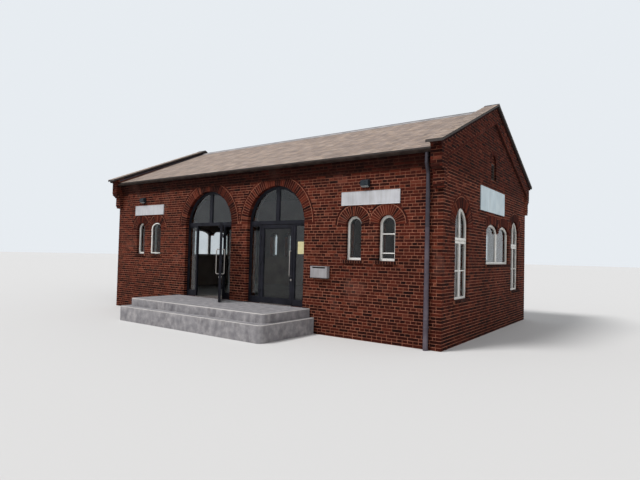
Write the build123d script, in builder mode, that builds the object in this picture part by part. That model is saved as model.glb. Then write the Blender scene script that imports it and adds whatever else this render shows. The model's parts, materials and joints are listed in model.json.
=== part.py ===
from build123d import *
import os
from math import cos, pi, radians, sin, tan

# Small brick station building, now a public toilet. Millimetres, +Z up.
# The origin is the centre of the plan, at the lowest ground. The front faces -Y.

# Brick box, outside face to outside face
length = 11200
depth = 6700
wall = 348
course = 200 / 3
floor_top = 570

# Roof of two slates-on-boards slopes
roof_pitch = 24.6
roof_at_wall = 4086
roof_thickness = 180
eave_reach = 145
eave_thickness = 38
ridge_cap_width = 300
ridge_cap_rise = 30
ridge_cap_thickness = 12

# Gable parapets: one brick thick, with a raking band on the outer face
parapet = 228
band_step = 57
band_inner_drop = 503
band_leg_width = 50
coping_pitch = 23.8
coping_over_ridge = 153
coping_reach = 390
coping_thickness = 70
coping_lap = 65

# Corbelled kneelers under the coping's feet
kneeler_foot_drop = 886
kneeler_lower_step = 110
kneeler_waist_drop = 526
kneeler_upper_step = 250
kneeler_neck_drop = 126
kneeler_lip = 350
kneeler_hollow = 28

# Cornice of corbelled courses under the eaves
cornice_courses = 6
cornice_step = 25
cornice_step_count = 4

# Gutters and downpipes of zinc
gutter_radius = 62
gutter_wall = 3
gutter_drop = 108
pipe_radius = 40
pipe_from_parapet = 119
pipe_gap = 30
pipe_clearance = 12
swan_neck_drop = 386
swan_neck_height = 180
pipe_side_count = 16
foot_pipe_radius = 52
foot_pipe_top = 600

# Two round-arched portals
portal_width = 1880
portal_centre = 1235
portal_springing = 2590
portal_chord_count = 32
head_split = 200
head_bearing = 240
portal_reveal = 100
frame_depth = 60
frame_face = 55
door_opening = 1070
transom_bottom = 2570
transom_height = 80
fanlight_bar = 110
sidelight_rail = 150
sidelight_top_rail = 30
pane_thickness = 10

# Door leaves, hinged on the mullions beside the pier
leaf_gap = 8
leaf_floor_gap = 15
leaf_stile = 85
leaf_top_rail = 85
leaf_bottom_rail = 135
hinge_offset = 14
hinge_radius = 11
hinge_wing = 32
hinge_knuckle = 50
hinge_side_count = 16
hinge_pin_radius = 5
hinge_bore_clearance = 0.2
hinge_washer = 1
hinge_low = 300
hinge_middle = 1000
hinge_high = 1700
left_door_open = 137
pull_length = 620
pull_centre = 1030
pull_radius = 12.5
pull_side_count = 12
pull_standoff = 70
pull_from_edge = 45

# Small round-headed windows, in pairs
small_window_width = 400
small_window_sill = 26 * course
small_window_springing = 2510
small_chord_count = 16
small_window_near = 3550
small_window_far = 4370
small_window_reveal = 80
casement_face = 30
casement_gap = 0.3
casement_open = 28

# Gable windows, measured from the gable's centre line towards the back
tall_window_width = 820
tall_window_sill = 955
tall_window_springing = 2505
tall_chord_count = 20
tall_window_front = -2260
tall_window_back = 2150
double_window_width = 2040
double_window_centre = 470
double_window_sill = 1695
double_window_springing = 2480
double_window_rise = 220
double_chord_count = 18
gable_window_reveal = 50
window_transom = 2207
window_transom_height = 125

# White window frames
window_depth = 60
window_face = 50
window_rim = 20
window_mullion = 60
window_pane = 8
sill_drop = course
sill_lap = 60
sill_step = 40

# Small vent under the gable's peak
vent_width = 420
vent_sill = 3815
vent_top = 4250
vent_blind_depth = 40
vent_face = 40
louvre_count = 5
louvre_tilt = 35
louvre_thickness = 12

# Boards, lamps and letterbox on the walls
sign_width = 1450
sign_height = 300
sign_foot = 2945
sign_centre = 3950
sign_thickness = 25
gable_sign_width = 2020
gable_sign_height = 585
gable_sign_foot = 2985
gable_sign_centre = -50
lamp_width = 200
lamp_height = 180
lamp_depth = 110
lamp_above_sign = 75
lamp_tilt = 18
right_lamp_centre = 3850
left_lamp_centre = -4250
letterbox_width = 480
letterbox_height = 270
letterbox_depth = 110
letterbox_foot = 1300
letterbox_centre = 2690
letterbox_corner = 8

# Landing of two concrete slabs in front of the portals
landing_width = 4780
landing_reach = 1580
landing_thickness = 200
landing_corner = 120
step_lap_side = 130
step_lap_front = 240

# Places worked out from the sizes above
front_y = -depth / 2
back_y = depth / 2
end_x = length / 2
roof_rise = tan(radians(roof_pitch))
roof_drop = roof_thickness / cos(radians(roof_pitch))
ridge_top = roof_at_wall + roof_rise * depth / 2
wall_head = roof_at_wall - roof_drop
coping_rise = tan(radians(coping_pitch))
parapet_in_x = end_x + band_step - parapet
band_x = end_x + band_step
frame_y = front_y + portal_reveal
cornice_foot = (roof_at_wall // course - cornice_courses) * course
cornice_steps = [cornice_step * (number + 1) for number in range(cornice_step_count)]
coping_peak = ridge_top + coping_over_ridge
band_inner_peak = coping_peak - band_inner_drop
kneeler_foot = roof_at_wall - kneeler_foot_drop
kneeler_waist = roof_at_wall - kneeler_waist_drop
kneeler_neck = roof_at_wall - kneeler_neck_drop
gutter_top = roof_at_wall - gutter_drop
swan_neck_top = roof_at_wall - swan_neck_drop
swan_neck_bottom = swan_neck_top - swan_neck_height
hinge_heights = (hinge_low, hinge_middle, hinge_high)
small_window_centres = (small_window_near, small_window_far)
tall_window_centres = (tall_window_front, tall_window_back)
lamp_foot = sign_foot + sign_height + lamp_above_sign
lamp_centres = (right_lamp_centre, left_lamp_centre)
open_casement_centre = -small_window_near
pipe_x = parapet_in_x - pipe_from_parapet
leaf_width = door_opening - 2 * leaf_gap
leaf_bottom = floor_top + leaf_floor_gap
leaf_height = transom_bottom - leaf_gap - leaf_bottom
hinge_x = portal_centre - door_opening / 2 + leaf_gap / 2
hinge_y = frame_y - hinge_offset

# Upright planes to draw on: local x runs level, local y runs up
front_plane = Plane(origin=(0, front_y, 0), x_dir=(1, 0, 0), z_dir=(0, -1, 0))
back_plane = Plane(origin=(0, back_y, 0), x_dir=(-1, 0, 0), z_dir=(0, 1, 0))
gable_plane = Plane(origin=(end_x, 0, 0), x_dir=(0, 1, 0), z_dir=(1, 0, 0))
frame_plane = front_plane.offset(-portal_reveal)
roof_underside = Plane(
    origin=(0, front_y, wall_head),
    x_dir=(1, 0, 0),
    z_dir=(0, -sin(radians(roof_pitch)), cos(radians(roof_pitch))),
)


def section_at(x):
    """Upright plane across the building at x: local x runs to the back, local y up."""
    return Plane(origin=(x, 0, 0), x_dir=(0, 1, 0), z_dir=(1, 0, 0))


def coping_underside(y):
    """Height of the coping's underside at a distance y from the ridge line."""
    return coping_peak - coping_thickness - coping_rise * abs(y)


def roof_surface(reach):
    """Height of the slates at a distance outside the wall's face."""
    return roof_at_wall - roof_rise * reach


def oval_headed(width, foot, springing, rise, chord_count):
    """Face with a straight foot and an oval head of short chords, centred on local x = 0."""
    half = width / 2
    turns = [pi * step / chord_count for step in range(chord_count + 1)]
    head = [(half * cos(turn), springing + rise * sin(turn)) for turn in turns]
    with BuildSketch() as outline:
        with BuildLine():
            Polyline((-half, foot), (half, foot), *head, close=True)
        make_face()
    return outline.sketch


def round_headed(width, foot, springing, chord_count):
    """Face with a straight foot and a half-round head, centred on local x = 0."""
    return oval_headed(width, foot, springing, width / 2, chord_count)


small_opening = round_headed(
    small_window_width, small_window_sill, small_window_springing, small_chord_count
)
tall_opening = round_headed(
    tall_window_width, tall_window_sill, tall_window_springing, tall_chord_count
)
lobe_width = double_window_width / 2
lobe_opening = oval_headed(
    lobe_width,
    double_window_sill,
    double_window_springing,
    double_window_rise,
    double_chord_count,
)
lobe_centres = (double_window_centre - lobe_width / 2, double_window_centre + lobe_width / 2)
portal_opening = round_headed(portal_width, floor_top, portal_springing, portal_chord_count)


def sill_block(width, top):
    """Sill of bricks on edge under an opening, standing out of the wall."""
    with BuildPart() as block:
        with BuildSketch(front_plane):
            with Locations((0, top - sill_drop / 2)):
                Rectangle(width + 2 * sill_lap, sill_drop)
        extrude(amount=sill_step)
    return block.part


# Front wall beside the portals, with a pair of small windows on each side
jamb_x = portal_centre + portal_width / 2
wall_in_x = end_x - wall
bearing_x = jamb_x + head_bearing
split_z = portal_springing - head_split
wall_trim = wall_head + roof_rise * wall + roof_drop

with BuildPart() as front_wall_right:
    with BuildSketch(front_plane):
        with BuildLine():
            Polyline(
                (jamb_x, 0),
                (wall_in_x, 0),
                (wall_in_x, wall_trim),
                (bearing_x, wall_trim),
                (bearing_x, split_z),
                (jamb_x, split_z),
                close=True,
            )
        make_face()
        with Locations(*[(x, 0) for x in small_window_centres]):
            add(small_opening, mode=Mode.SUBTRACT)
    extrude(amount=-wall)
    with Locations(*[(x, 0, 0) for x in small_window_centres]):
        add(sill_block(small_window_width, small_window_sill))
    split(bisect_by=roof_underside, keep=Keep.BOTTOM)

with BuildPart() as front_wall_left:
    mirror(front_wall_right.part, about=Plane.YZ)

# Brick pier between the portals, and the wall under their thresholds
pier_width = 2 * portal_centre - portal_width
with BuildPart() as front_wall_pier:
    with BuildSketch(front_plane):
        with Locations((0, floor_top)):
            Rectangle(pier_width, split_z - floor_top, align=(Align.CENTER, Align.MIN))
    extrude(amount=-wall)

with BuildPart() as front_wall_sill:
    with BuildSketch(front_plane):
        Rectangle(2 * jamb_x, floor_top, align=(Align.CENTER, Align.MIN))
    extrude(amount=-wall)

# Head of the front wall, with both arches cut in it
with BuildPart() as front_wall_head:
    with BuildSketch(front_plane):
        with Locations((0, split_z)):
            Rectangle(2 * bearing_x, wall_trim - split_z, align=(Align.CENTER, Align.MIN))
        with Locations((portal_centre, 0), (-portal_centre, 0)):
            add(portal_opening, mode=Mode.SUBTRACT)
    extrude(amount=-wall)
    split(bisect_by=roof_underside, keep=Keep.BOTTOM)

# Back wall, with the same pairs of windows and no portals
with BuildPart() as back_wall:
    with BuildSketch(front_plane):
        Rectangle(2 * wall_in_x, wall_trim, align=(Align.CENTER, Align.MIN))
        with Locations(*[(side * x, 0) for side in (-1, 1) for x in small_window_centres]):
            add(small_opening, mode=Mode.SUBTRACT)
    extrude(amount=-wall)
    with Locations(*[(side * x, 0, 0) for side in (-1, 1) for x in small_window_centres]):
        add(sill_block(small_window_width, small_window_sill))
    split(bisect_by=roof_underside, keep=Keep.BOTTOM)
    mirror(about=Plane.XZ, mode=Mode.REPLACE)

# Gable wall: full thickness up to the roof, one brick thick as a parapet above it,
# with the raking band and its short legs standing out of the recessed field
band_leg_y = back_y - band_leg_width
with BuildPart() as right_gable_wall:
    with BuildSketch(gable_plane):
        with BuildLine():
            Polyline(
                (front_y, 0),
                (back_y, 0),
                (back_y, wall_head),
                (0, wall_head + roof_rise * depth / 2),
                (front_y, wall_head),
                close=True,
            )
        make_face()
    extrude(amount=-wall)
    with BuildSketch(gable_plane):
        with BuildLine():
            Polyline(
                (front_y, 0),
                (back_y, 0),
                (back_y, coping_underside(back_y)),
                (0, coping_underside(0)),
                (front_y, coping_underside(front_y)),
                close=True,
            )
        make_face()
    extrude(amount=band_step - parapet)
    with BuildSketch(gable_plane):
        with BuildLine():
            Polyline(
                (front_y, kneeler_foot),
                (front_y, coping_underside(front_y)),
                (0, coping_underside(0)),
                (back_y, coping_underside(back_y)),
                (back_y, kneeler_foot),
                (band_leg_y, kneeler_foot),
                (band_leg_y, band_inner_peak - coping_rise * band_leg_y),
                (0, band_inner_peak),
                (-band_leg_y, band_inner_peak - coping_rise * band_leg_y),
                (-band_leg_y, kneeler_foot),
                close=True,
            )
        make_face()
    extrude(amount=band_step)
    with BuildSketch(gable_plane):
        with Locations(*[(y, 0) for y in tall_window_centres]):
            add(tall_opening)
        with Locations(*[(y, 0) for y in lobe_centres]):
            add(lobe_opening)
        with Locations((0, vent_sill)):
            Rectangle(vent_width, vent_top - vent_sill, align=(Align.CENTER, Align.MIN))
    extrude(amount=-wall, mode=Mode.SUBTRACT)
    with BuildSketch(gable_plane):
        with Locations((0, vent_top)):
            Circle(vent_width / 2)
    extrude(amount=-vent_blind_depth, mode=Mode.SUBTRACT)
    with BuildSketch(gable_plane):
        with Locations(*[(y, tall_window_sill - sill_drop / 2) for y in tall_window_centres]):
            Rectangle(tall_window_width + 2 * sill_lap, sill_drop)
        with Locations((double_window_centre, double_window_sill - sill_drop / 2)):
            Rectangle(double_window_width + 2 * sill_lap, sill_drop)
    extrude(amount=sill_step)

with BuildPart() as left_gable_wall:
    mirror(right_gable_wall.part, about=Plane.YZ)

# Kneelers: two rounded tiers that carry the coping's foot in front of each corner
kneeler_top_y = front_y - kneeler_lip
hollow_mid_y = front_y - (kneeler_upper_step + kneeler_lip) / 2 + kneeler_hollow
hollow_mid_z = (kneeler_neck + coping_underside(kneeler_top_y)) / 2 + kneeler_hollow
upper_round = kneeler_upper_step - kneeler_lower_step
with BuildPart() as front_kneelers:
    with BuildSketch(section_at(parapet_in_x)):
        with BuildLine():
            Line((front_y, coping_underside(front_y)), (front_y, kneeler_foot))
            CenterArc((front_y, kneeler_foot + kneeler_lower_step), kneeler_lower_step, 180, 90)
            Line(
                (front_y - kneeler_lower_step, kneeler_foot + kneeler_lower_step),
                (front_y - kneeler_lower_step, kneeler_waist),
            )
            CenterArc(
                (front_y - kneeler_lower_step, kneeler_waist + upper_round), upper_round, 180, 90
            )
            Line(
                (front_y - kneeler_upper_step, kneeler_waist + upper_round),
                (front_y - kneeler_upper_step, kneeler_neck),
            )
            ThreePointArc(
                (front_y - kneeler_upper_step, kneeler_neck),
                (hollow_mid_y, hollow_mid_z),
                (kneeler_top_y, coping_underside(kneeler_top_y)),
            )
            Line(
                (kneeler_top_y, coping_underside(kneeler_top_y)),
                (front_y, coping_underside(front_y)),
            )
        make_face()
    extrude(amount=parapet)
    mirror(about=Plane.YZ)

with BuildPart() as back_kneelers:
    mirror(front_kneelers.part, about=Plane.XZ)

# Copings: one long cap over both rakes of each gable
coping_foot_y = back_y + coping_reach
with BuildPart() as right_coping:
    with BuildSketch(section_at(parapet_in_x - coping_lap)):
        with BuildLine():
            Polyline(
                (-coping_foot_y, coping_underside(coping_foot_y)),
                (-coping_foot_y, coping_underside(coping_foot_y) + coping_thickness),
                (0, coping_peak),
                (coping_foot_y, coping_underside(coping_foot_y) + coping_thickness),
                (coping_foot_y, coping_underside(coping_foot_y)),
                (0, coping_underside(0)),
                close=True,
            )
        make_face()
    extrude(amount=parapet + 2 * coping_lap)

with BuildPart() as left_coping:
    mirror(right_coping.part, about=Plane.YZ)

# Roof slopes between the parapets, thin where they pass the wall's face
with BuildPart() as roof_front:
    with BuildSketch(section_at(-parapet_in_x)):
        with BuildLine():
            Polyline(
                (front_y - eave_reach, roof_surface(eave_reach)),
                (0, ridge_top),
                (0, ridge_top - roof_drop),
                (front_y, wall_head),
                (front_y, roof_at_wall - eave_thickness),
                (front_y - eave_reach, roof_surface(eave_reach) - eave_thickness),
                close=True,
            )
        make_face()
    extrude(amount=2 * parapet_in_x)

with BuildPart() as roof_back:
    mirror(roof_front.part, about=Plane.XZ)

# Ridge cap: a bent zinc strip lying on both slopes
cap_half = ridge_cap_width / 2
cap_drop = roof_rise * cap_half
with BuildPart() as ridge_cap:
    with BuildSketch(section_at(-parapet_in_x)):
        with BuildLine():
            Polyline(
                (-cap_half, ridge_top - cap_drop),
                (-cap_half, ridge_top - cap_drop + ridge_cap_thickness),
                (-ridge_cap_rise, ridge_top + ridge_cap_rise),
            )
            ThreePointArc(
                (-ridge_cap_rise, ridge_top + ridge_cap_rise),
                (0, ridge_top + ridge_cap_rise + ridge_cap_thickness),
                (ridge_cap_rise, ridge_top + ridge_cap_rise),
            )
            Polyline(
                (ridge_cap_rise, ridge_top + ridge_cap_rise),
                (cap_half, ridge_top - cap_drop + ridge_cap_thickness),
                (cap_half, ridge_top - cap_drop),
                (0, ridge_top),
                (-cap_half, ridge_top - cap_drop),
            )
        make_face()
    extrude(amount=2 * parapet_in_x)

# Cornice: each course stands further out than the one below
cornice_reach = cornice_steps[-1]
cornice_outline = [(front_y, cornice_foot)]
for number, reach in enumerate(cornice_steps):
    cornice_outline.append((front_y - reach, cornice_foot + number * course))
    cornice_outline.append((front_y - reach, cornice_foot + (number + 1) * course))
cornice_outline[-1] = (front_y - cornice_reach, roof_surface(cornice_reach) - eave_thickness)
cornice_outline.append((front_y, roof_at_wall - eave_thickness))

with BuildPart() as front_cornice:
    with BuildSketch(section_at(-parapet_in_x)):
        with BuildLine():
            Polyline(*cornice_outline, close=True)
        make_face()
    extrude(amount=2 * parapet_in_x)

with BuildPart() as back_cornice:
    mirror(front_cornice.part, about=Plane.XZ)

# Half-round gutter against the cornice, with closed ends
gutter_y = front_y - cornice_reach - gutter_radius
with BuildPart() as front_gutter:
    with BuildSketch(section_at(-parapet_in_x)):
        with Locations((gutter_y, gutter_top)):
            Circle(gutter_radius)
            Circle(gutter_radius - gutter_wall, mode=Mode.SUBTRACT)
            Rectangle(
                2 * gutter_radius,
                gutter_radius,
                align=(Align.CENTER, Align.MIN),
                mode=Mode.SUBTRACT,
            )
    extrude(amount=2 * parapet_in_x)
    with BuildSketch(section_at(-parapet_in_x), section_at(parapet_in_x - gutter_wall)):
        with Locations((gutter_y, gutter_top)):
            Circle(gutter_radius)
            Rectangle(
                2 * gutter_radius,
                gutter_radius,
                align=(Align.CENTER, Align.MIN),
                mode=Mode.SUBTRACT,
            )
    extrude(amount=gutter_wall)

with BuildPart() as back_gutter:
    mirror(front_gutter.part, about=Plane.XZ)

# Downpipe: out of the gutter, back to the wall by a swan neck, and into a foot pipe
pipe_top_y = front_y - cornice_reach - pipe_clearance - pipe_radius
pipe_wall_y = front_y - pipe_gap - pipe_radius
pipe_top = gutter_top - gutter_radius
with BuildPart() as front_downpipe:
    with BuildLine():
        Polyline(
            (pipe_x, pipe_top_y, pipe_top),
            (pipe_x, pipe_top_y, swan_neck_top),
            (pipe_x, pipe_wall_y, swan_neck_bottom),
            (pipe_x, pipe_wall_y, foot_pipe_top),
        )
    with BuildSketch(Plane(origin=(pipe_x, pipe_top_y, pipe_top), z_dir=(0, 0, -1))):
        RegularPolygon(pipe_radius, pipe_side_count)
    sweep(transition=Transition.RIGHT)
    with BuildSketch():
        with Locations((pipe_x, pipe_wall_y)):
            RegularPolygon(foot_pipe_radius, pipe_side_count)
    extrude(amount=foot_pipe_top)

with BuildPart() as back_downpipe:
    with Locations(Location((0, 0, 0), (0, 0, 180))):
        add(front_downpipe.part)

# Floor on the ground inside the walls, up to the thresholds
with BuildPart() as floor_slab:
    with BuildSketch():
        Rectangle(length - 2 * wall, depth - 2 * wall)
    extrude(amount=floor_top)

# Landing: an upper slab with rounded front corners on a wider step
with BuildPart() as landing_slab:
    with BuildSketch(Plane.XY.offset(floor_top - landing_thickness)):
        with Locations((0, front_y)):
            Rectangle(landing_width, landing_reach, align=(Align.CENTER, Align.MAX))
    extrude(amount=landing_thickness)
    fillet(landing_slab.edges().filter_by(Axis.Z).group_by(Axis.Y)[0], radius=landing_corner)

with BuildPart() as landing_step:
    with BuildSketch():
        with Locations((0, front_y)):
            Rectangle(
                landing_width + 2 * step_lap_side,
                landing_reach + step_lap_front,
                align=(Align.CENTER, Align.MAX),
            )
    extrude(amount=floor_top - landing_thickness)
    fillet(landing_step.edges().filter_by(Axis.Z).group_by(Axis.Y)[0], radius=landing_corner)

# Portal frames, drawn once about local x = 0 and set in both arches
light_radius = portal_width / 2 - frame_face
transom_top = transom_bottom + transom_height


def fanlight_lights():
    """Faces of the two lights beside the fanlight's middle bar."""
    with BuildSketch() as lights:
        add(round_headed(2 * light_radius, transom_bottom, portal_springing, portal_chord_count))
        with Locations((0, transom_top)):
            Rectangle(
                portal_width, portal_width, align=(Align.CENTER, Align.MAX), mode=Mode.SUBTRACT
            )
        with Locations((0, portal_springing)):
            Rectangle(fanlight_bar, 2 * portal_width, mode=Mode.SUBTRACT)
    return lights.sketch


def fanlight_outline():
    """Face of the whole arched head, from the transom's underside up."""
    return round_headed(portal_width, transom_bottom, portal_springing, portal_chord_count)


sidelight_width = (portal_width - door_opening) / 2
sidelight_centre = (portal_width - sidelight_width) / 2
light_width = sidelight_width - 2 * frame_face
light_foot = floor_top + sidelight_rail
light_height = transom_bottom - sidelight_top_rail - light_foot

with BuildPart() as fanlight:
    with BuildSketch(frame_plane):
        add(fanlight_outline())
        add(fanlight_lights(), mode=Mode.SUBTRACT)
    extrude(amount=-frame_depth)

with BuildPart() as sidelights:
    with BuildSketch(frame_plane):
        with Locations((-sidelight_centre, floor_top), (sidelight_centre, floor_top)):
            Rectangle(
                sidelight_width, transom_bottom - floor_top, align=(Align.CENTER, Align.MIN)
            )
        with Locations((-sidelight_centre, light_foot), (sidelight_centre, light_foot)):
            Rectangle(
                light_width, light_height, align=(Align.CENTER, Align.MIN), mode=Mode.SUBTRACT
            )
    extrude(amount=-frame_depth)

with BuildPart() as portal_panes:
    with BuildSketch(frame_plane.offset(-(frame_depth - pane_thickness) / 2)):
        add(fanlight_lights())
        with Locations((-sidelight_centre, light_foot), (sidelight_centre, light_foot)):
            Rectangle(light_width, light_height, align=(Align.CENTER, Align.MIN))
    extrude(amount=-pane_thickness)

# Hinge halves about the hinge line, which is local z: the pin half stays on the
# mullion at -x, the eye half turns with the leaf at +x
with BuildPart() as hinge_pin_half:
    with BuildSketch(*[Plane.XY.offset(leaf_bottom + z) for z in hinge_heights]):
        RegularPolygon(hinge_radius, hinge_side_count)
    extrude(amount=-hinge_knuckle)
    with Locations(*[(0, 0, leaf_bottom + z) for z in hinge_heights]):
        Cylinder(
            hinge_pin_radius, hinge_knuckle - hinge_radius, align=(Align.CENTER, Align.CENTER, Align.MIN)
        )
        Box(
            hinge_wing,
            hinge_offset,
            hinge_knuckle,
            align=(Align.MAX, Align.MIN, Align.MAX),
        )

with BuildPart() as hinge_eye_half:
    with BuildSketch(*[Plane.XY.offset(leaf_bottom + z + hinge_washer) for z in hinge_heights]):
        RegularPolygon(hinge_radius, hinge_side_count)
    extrude(amount=hinge_knuckle)
    with Locations(*[(0, 0, leaf_bottom + z + hinge_washer) for z in hinge_heights]):
        Box(
            hinge_wing,
            hinge_offset,
            hinge_knuckle,
            align=(Align.MIN, Align.MIN, Align.MIN),
        )
        Cylinder(
            hinge_pin_radius + hinge_bore_clearance,
            hinge_knuckle - hinge_radius,
            align=(Align.CENTER, Align.CENTER, Align.MIN),
            mode=Mode.SUBTRACT,
        )

# Door leaf in its own place: hinge line at local x = y = 0, outside towards -y
leaf_x = leaf_gap / 2
leaf_plane = Plane(origin=(0, hinge_offset, 0), x_dir=(1, 0, 0), z_dir=(0, -1, 0))
pane_x = leaf_x + leaf_stile
pane_z = leaf_bottom + leaf_bottom_rail
pane_width = leaf_width - 2 * leaf_stile
pane_height = leaf_height - leaf_bottom_rail - leaf_top_rail
corner = (Align.MIN, Align.MIN)

with BuildPart() as leaf_frame:
    with BuildSketch(leaf_plane):
        with Locations((leaf_x, leaf_bottom)):
            Rectangle(leaf_width, leaf_height, align=corner)
        with Locations((pane_x, pane_z)):
            Rectangle(pane_width, pane_height, align=corner, mode=Mode.SUBTRACT)
    extrude(amount=-frame_depth)
    add(hinge_eye_half.part)

with BuildPart() as leaf_pane:
    with BuildSketch(leaf_plane.offset(-(frame_depth - pane_thickness) / 2)):
        with Locations((pane_x, pane_z)):
            Rectangle(pane_width, pane_height, align=corner)
    extrude(amount=-pane_thickness)

# Pull handle: a round bar with mitred corners on each face of the lock stile
pull_x = leaf_x + leaf_width - pull_from_edge
pull_foot = floor_top + pull_centre - pull_length / 2
with BuildPart() as leaf_pulls:
    for face_y, out in ((hinge_offset, -1), (hinge_offset + frame_depth, 1)):
        with BuildLine():
            Polyline(
                (pull_x, face_y, pull_foot),
                (pull_x, face_y + out * pull_standoff, pull_foot),
                (pull_x, face_y + out * pull_standoff, pull_foot + pull_length),
                (pull_x, face_y, pull_foot + pull_length),
            )
        with BuildSketch(Plane(origin=(pull_x, face_y, pull_foot), z_dir=(0, out, 0))):
            RegularPolygon(pull_radius, pull_side_count)
        sweep(transition=Transition.RIGHT)

right_hinge = Location((hinge_x, hinge_y, 0))
left_hinge = Location((-hinge_x, hinge_y, 0), (0, 0, left_door_open))

with BuildPart() as right_door:
    with Locations(right_hinge):
        add(leaf_frame.part)

with BuildPart() as right_door_pane:
    with Locations(right_hinge):
        add(leaf_pane.part)

with BuildPart() as right_door_pulls:
    with Locations(right_hinge):
        add(leaf_pulls.part)

left_leaf_frame = mirror(leaf_frame.part, about=Plane.YZ, mode=Mode.PRIVATE)
left_leaf_pane = mirror(leaf_pane.part, about=Plane.YZ, mode=Mode.PRIVATE)
left_leaf_pulls = mirror(leaf_pulls.part, about=Plane.YZ, mode=Mode.PRIVATE)

with BuildPart() as left_door:
    with Locations(left_hinge):
        add(left_leaf_frame)

with BuildPart() as left_door_pane:
    with Locations(left_hinge):
        add(left_leaf_pane)

with BuildPart() as left_door_pulls:
    with Locations(left_hinge):
        add(left_leaf_pulls)

# Fixed portal pieces at their places, with the pin halves on the inner mullions
with BuildPart() as right_fanlight:
    with Locations((portal_centre, 0, 0)):
        add(fanlight.part)

with BuildPart() as left_fanlight:
    with Locations((-portal_centre, 0, 0)):
        add(fanlight.part)

with BuildPart() as right_sidelights:
    with Locations((portal_centre, 0, 0)):
        add(sidelights.part)
    with Locations((hinge_x, hinge_y, 0)):
        add(hinge_pin_half.part)

with BuildPart() as left_sidelights:
    mirror(right_sidelights.part, about=Plane.YZ)

with BuildPart() as right_portal_panes:
    with Locations((portal_centre, 0, 0)):
        add(portal_panes.part)

with BuildPart() as left_portal_panes:
    mirror(right_portal_panes.part, about=Plane.YZ)

# Small windows: a white rim in the opening, and in it a casement with its pane.
# All are drawn about local x = 0; a casement turns about its outer right edge.
def inset_round_head(inset):
    """The small opening's face, drawn in by the same amount all round."""
    return round_headed(
        small_window_width - 2 * inset,
        small_window_sill + inset,
        small_window_springing,
        small_chord_count,
    )


window_plane = front_plane.offset(-small_window_reveal)
pane_setback = (window_depth - window_pane) / 2
casement_inset = window_rim + casement_gap
light_inset = casement_inset + casement_face
casement_hinge_x = small_window_width / 2 - casement_inset
casement_hinge_y = front_y + small_window_reveal

with BuildPart() as small_rim:
    with BuildSketch(window_plane):
        add(small_opening)
        add(inset_round_head(window_rim), mode=Mode.SUBTRACT)
    extrude(amount=-window_depth)

with BuildPart() as small_casement:
    with BuildSketch(window_plane):
        add(inset_round_head(casement_inset))
        add(inset_round_head(light_inset), mode=Mode.SUBTRACT)
    extrude(amount=-window_depth)

with BuildPart() as small_pane:
    with BuildSketch(window_plane.offset(-pane_setback)):
        add(inset_round_head(light_inset))
    extrude(amount=-window_pane)

small_places = [(side * x, 0, 0) for side in (-1, 1) for x in small_window_centres]
closed_places = [place for place in small_places if place[0] != open_casement_centre]
to_hinge = Location((-casement_hinge_x, -casement_hinge_y, 0))
swung_open = Location(
    (open_casement_centre + casement_hinge_x, casement_hinge_y, 0), (0, 0, casement_open)
)

with BuildPart() as front_window_rims:
    with Locations(*small_places):
        add(small_rim.part)

with BuildPart() as back_window_rims:
    mirror(front_window_rims.part, about=Plane.XZ)

with BuildPart() as front_casements:
    with Locations(*closed_places):
        add(small_casement.part)
    with Locations(swung_open * to_hinge):
        add(small_casement.part)

with BuildPart() as back_casements:
    with Locations(*small_places):
        add(small_casement.part)
    mirror(about=Plane.XZ, mode=Mode.REPLACE)

# Gable window frames: transoms in the tall ones, a mullion in the double one
lobe_light = oval_headed(
    lobe_width - window_face - window_mullion / 2,
    double_window_sill + window_face,
    double_window_springing,
    double_window_rise - window_face,
    double_chord_count,
)
tall_light = round_headed(
    tall_window_width - 2 * window_face,
    tall_window_sill + window_face,
    tall_window_springing,
    tall_chord_count,
)
lobe_shift = (window_face - window_mullion / 2) / 2
lobe_light_centres = (lobe_centres[0] + lobe_shift, lobe_centres[1] - lobe_shift)


def tall_window_bars():
    """Middle post and transom of a tall window, about local x = 0."""
    with BuildSketch() as bars:
        with Locations((0, tall_window_sill)):
            Rectangle(
                window_mullion,
                tall_window_springing + tall_window_width / 2 - tall_window_sill,
                align=(Align.CENTER, Align.MIN),
            )
        with Locations((0, window_transom)):
            Rectangle(tall_window_width - window_face, window_transom_height)
    return bars.sketch


def tall_window_lights():
    """Glazed openings of a tall window, about local x = 0."""
    with BuildSketch() as lights:
        add(tall_light)
        add(tall_window_bars(), mode=Mode.SUBTRACT)
    return lights.sketch


gable_window_plane = gable_plane.offset(-gable_window_reveal)
with BuildPart() as right_gable_frames:
    with BuildSketch(gable_window_plane):
        with Locations(*[(y, 0) for y in tall_window_centres]):
            add(tall_opening)
            add(tall_window_lights(), mode=Mode.SUBTRACT)
        with Locations(*[(y, 0) for y in lobe_centres]):
            add(lobe_opening)
        with Locations(*[(y, 0) for y in lobe_light_centres]):
            add(lobe_light, mode=Mode.SUBTRACT)
    extrude(amount=-window_depth)

with BuildPart() as left_gable_frames:
    mirror(right_gable_frames.part, about=Plane.YZ)

with BuildPart() as gable_panes:
    with BuildSketch(gable_window_plane.offset(-pane_setback)):
        with Locations(*[(y, 0) for y in tall_window_centres]):
            add(tall_window_lights())
        with Locations(*[(y, 0) for y in lobe_light_centres]):
            add(lobe_light)
    extrude(amount=-window_pane)

# All the window glass of the four walls
with BuildPart() as window_panes:
    with Locations(*small_places):
        add(small_pane.part)
    mirror(about=Plane.XZ, mode=Mode.REPLACE)
    with Locations(*closed_places):
        add(small_pane.part)
    with Locations(swung_open * to_hinge):
        add(small_pane.part)
    add(gable_panes.part)
    mirror(gable_panes.part, about=Plane.YZ)

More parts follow.
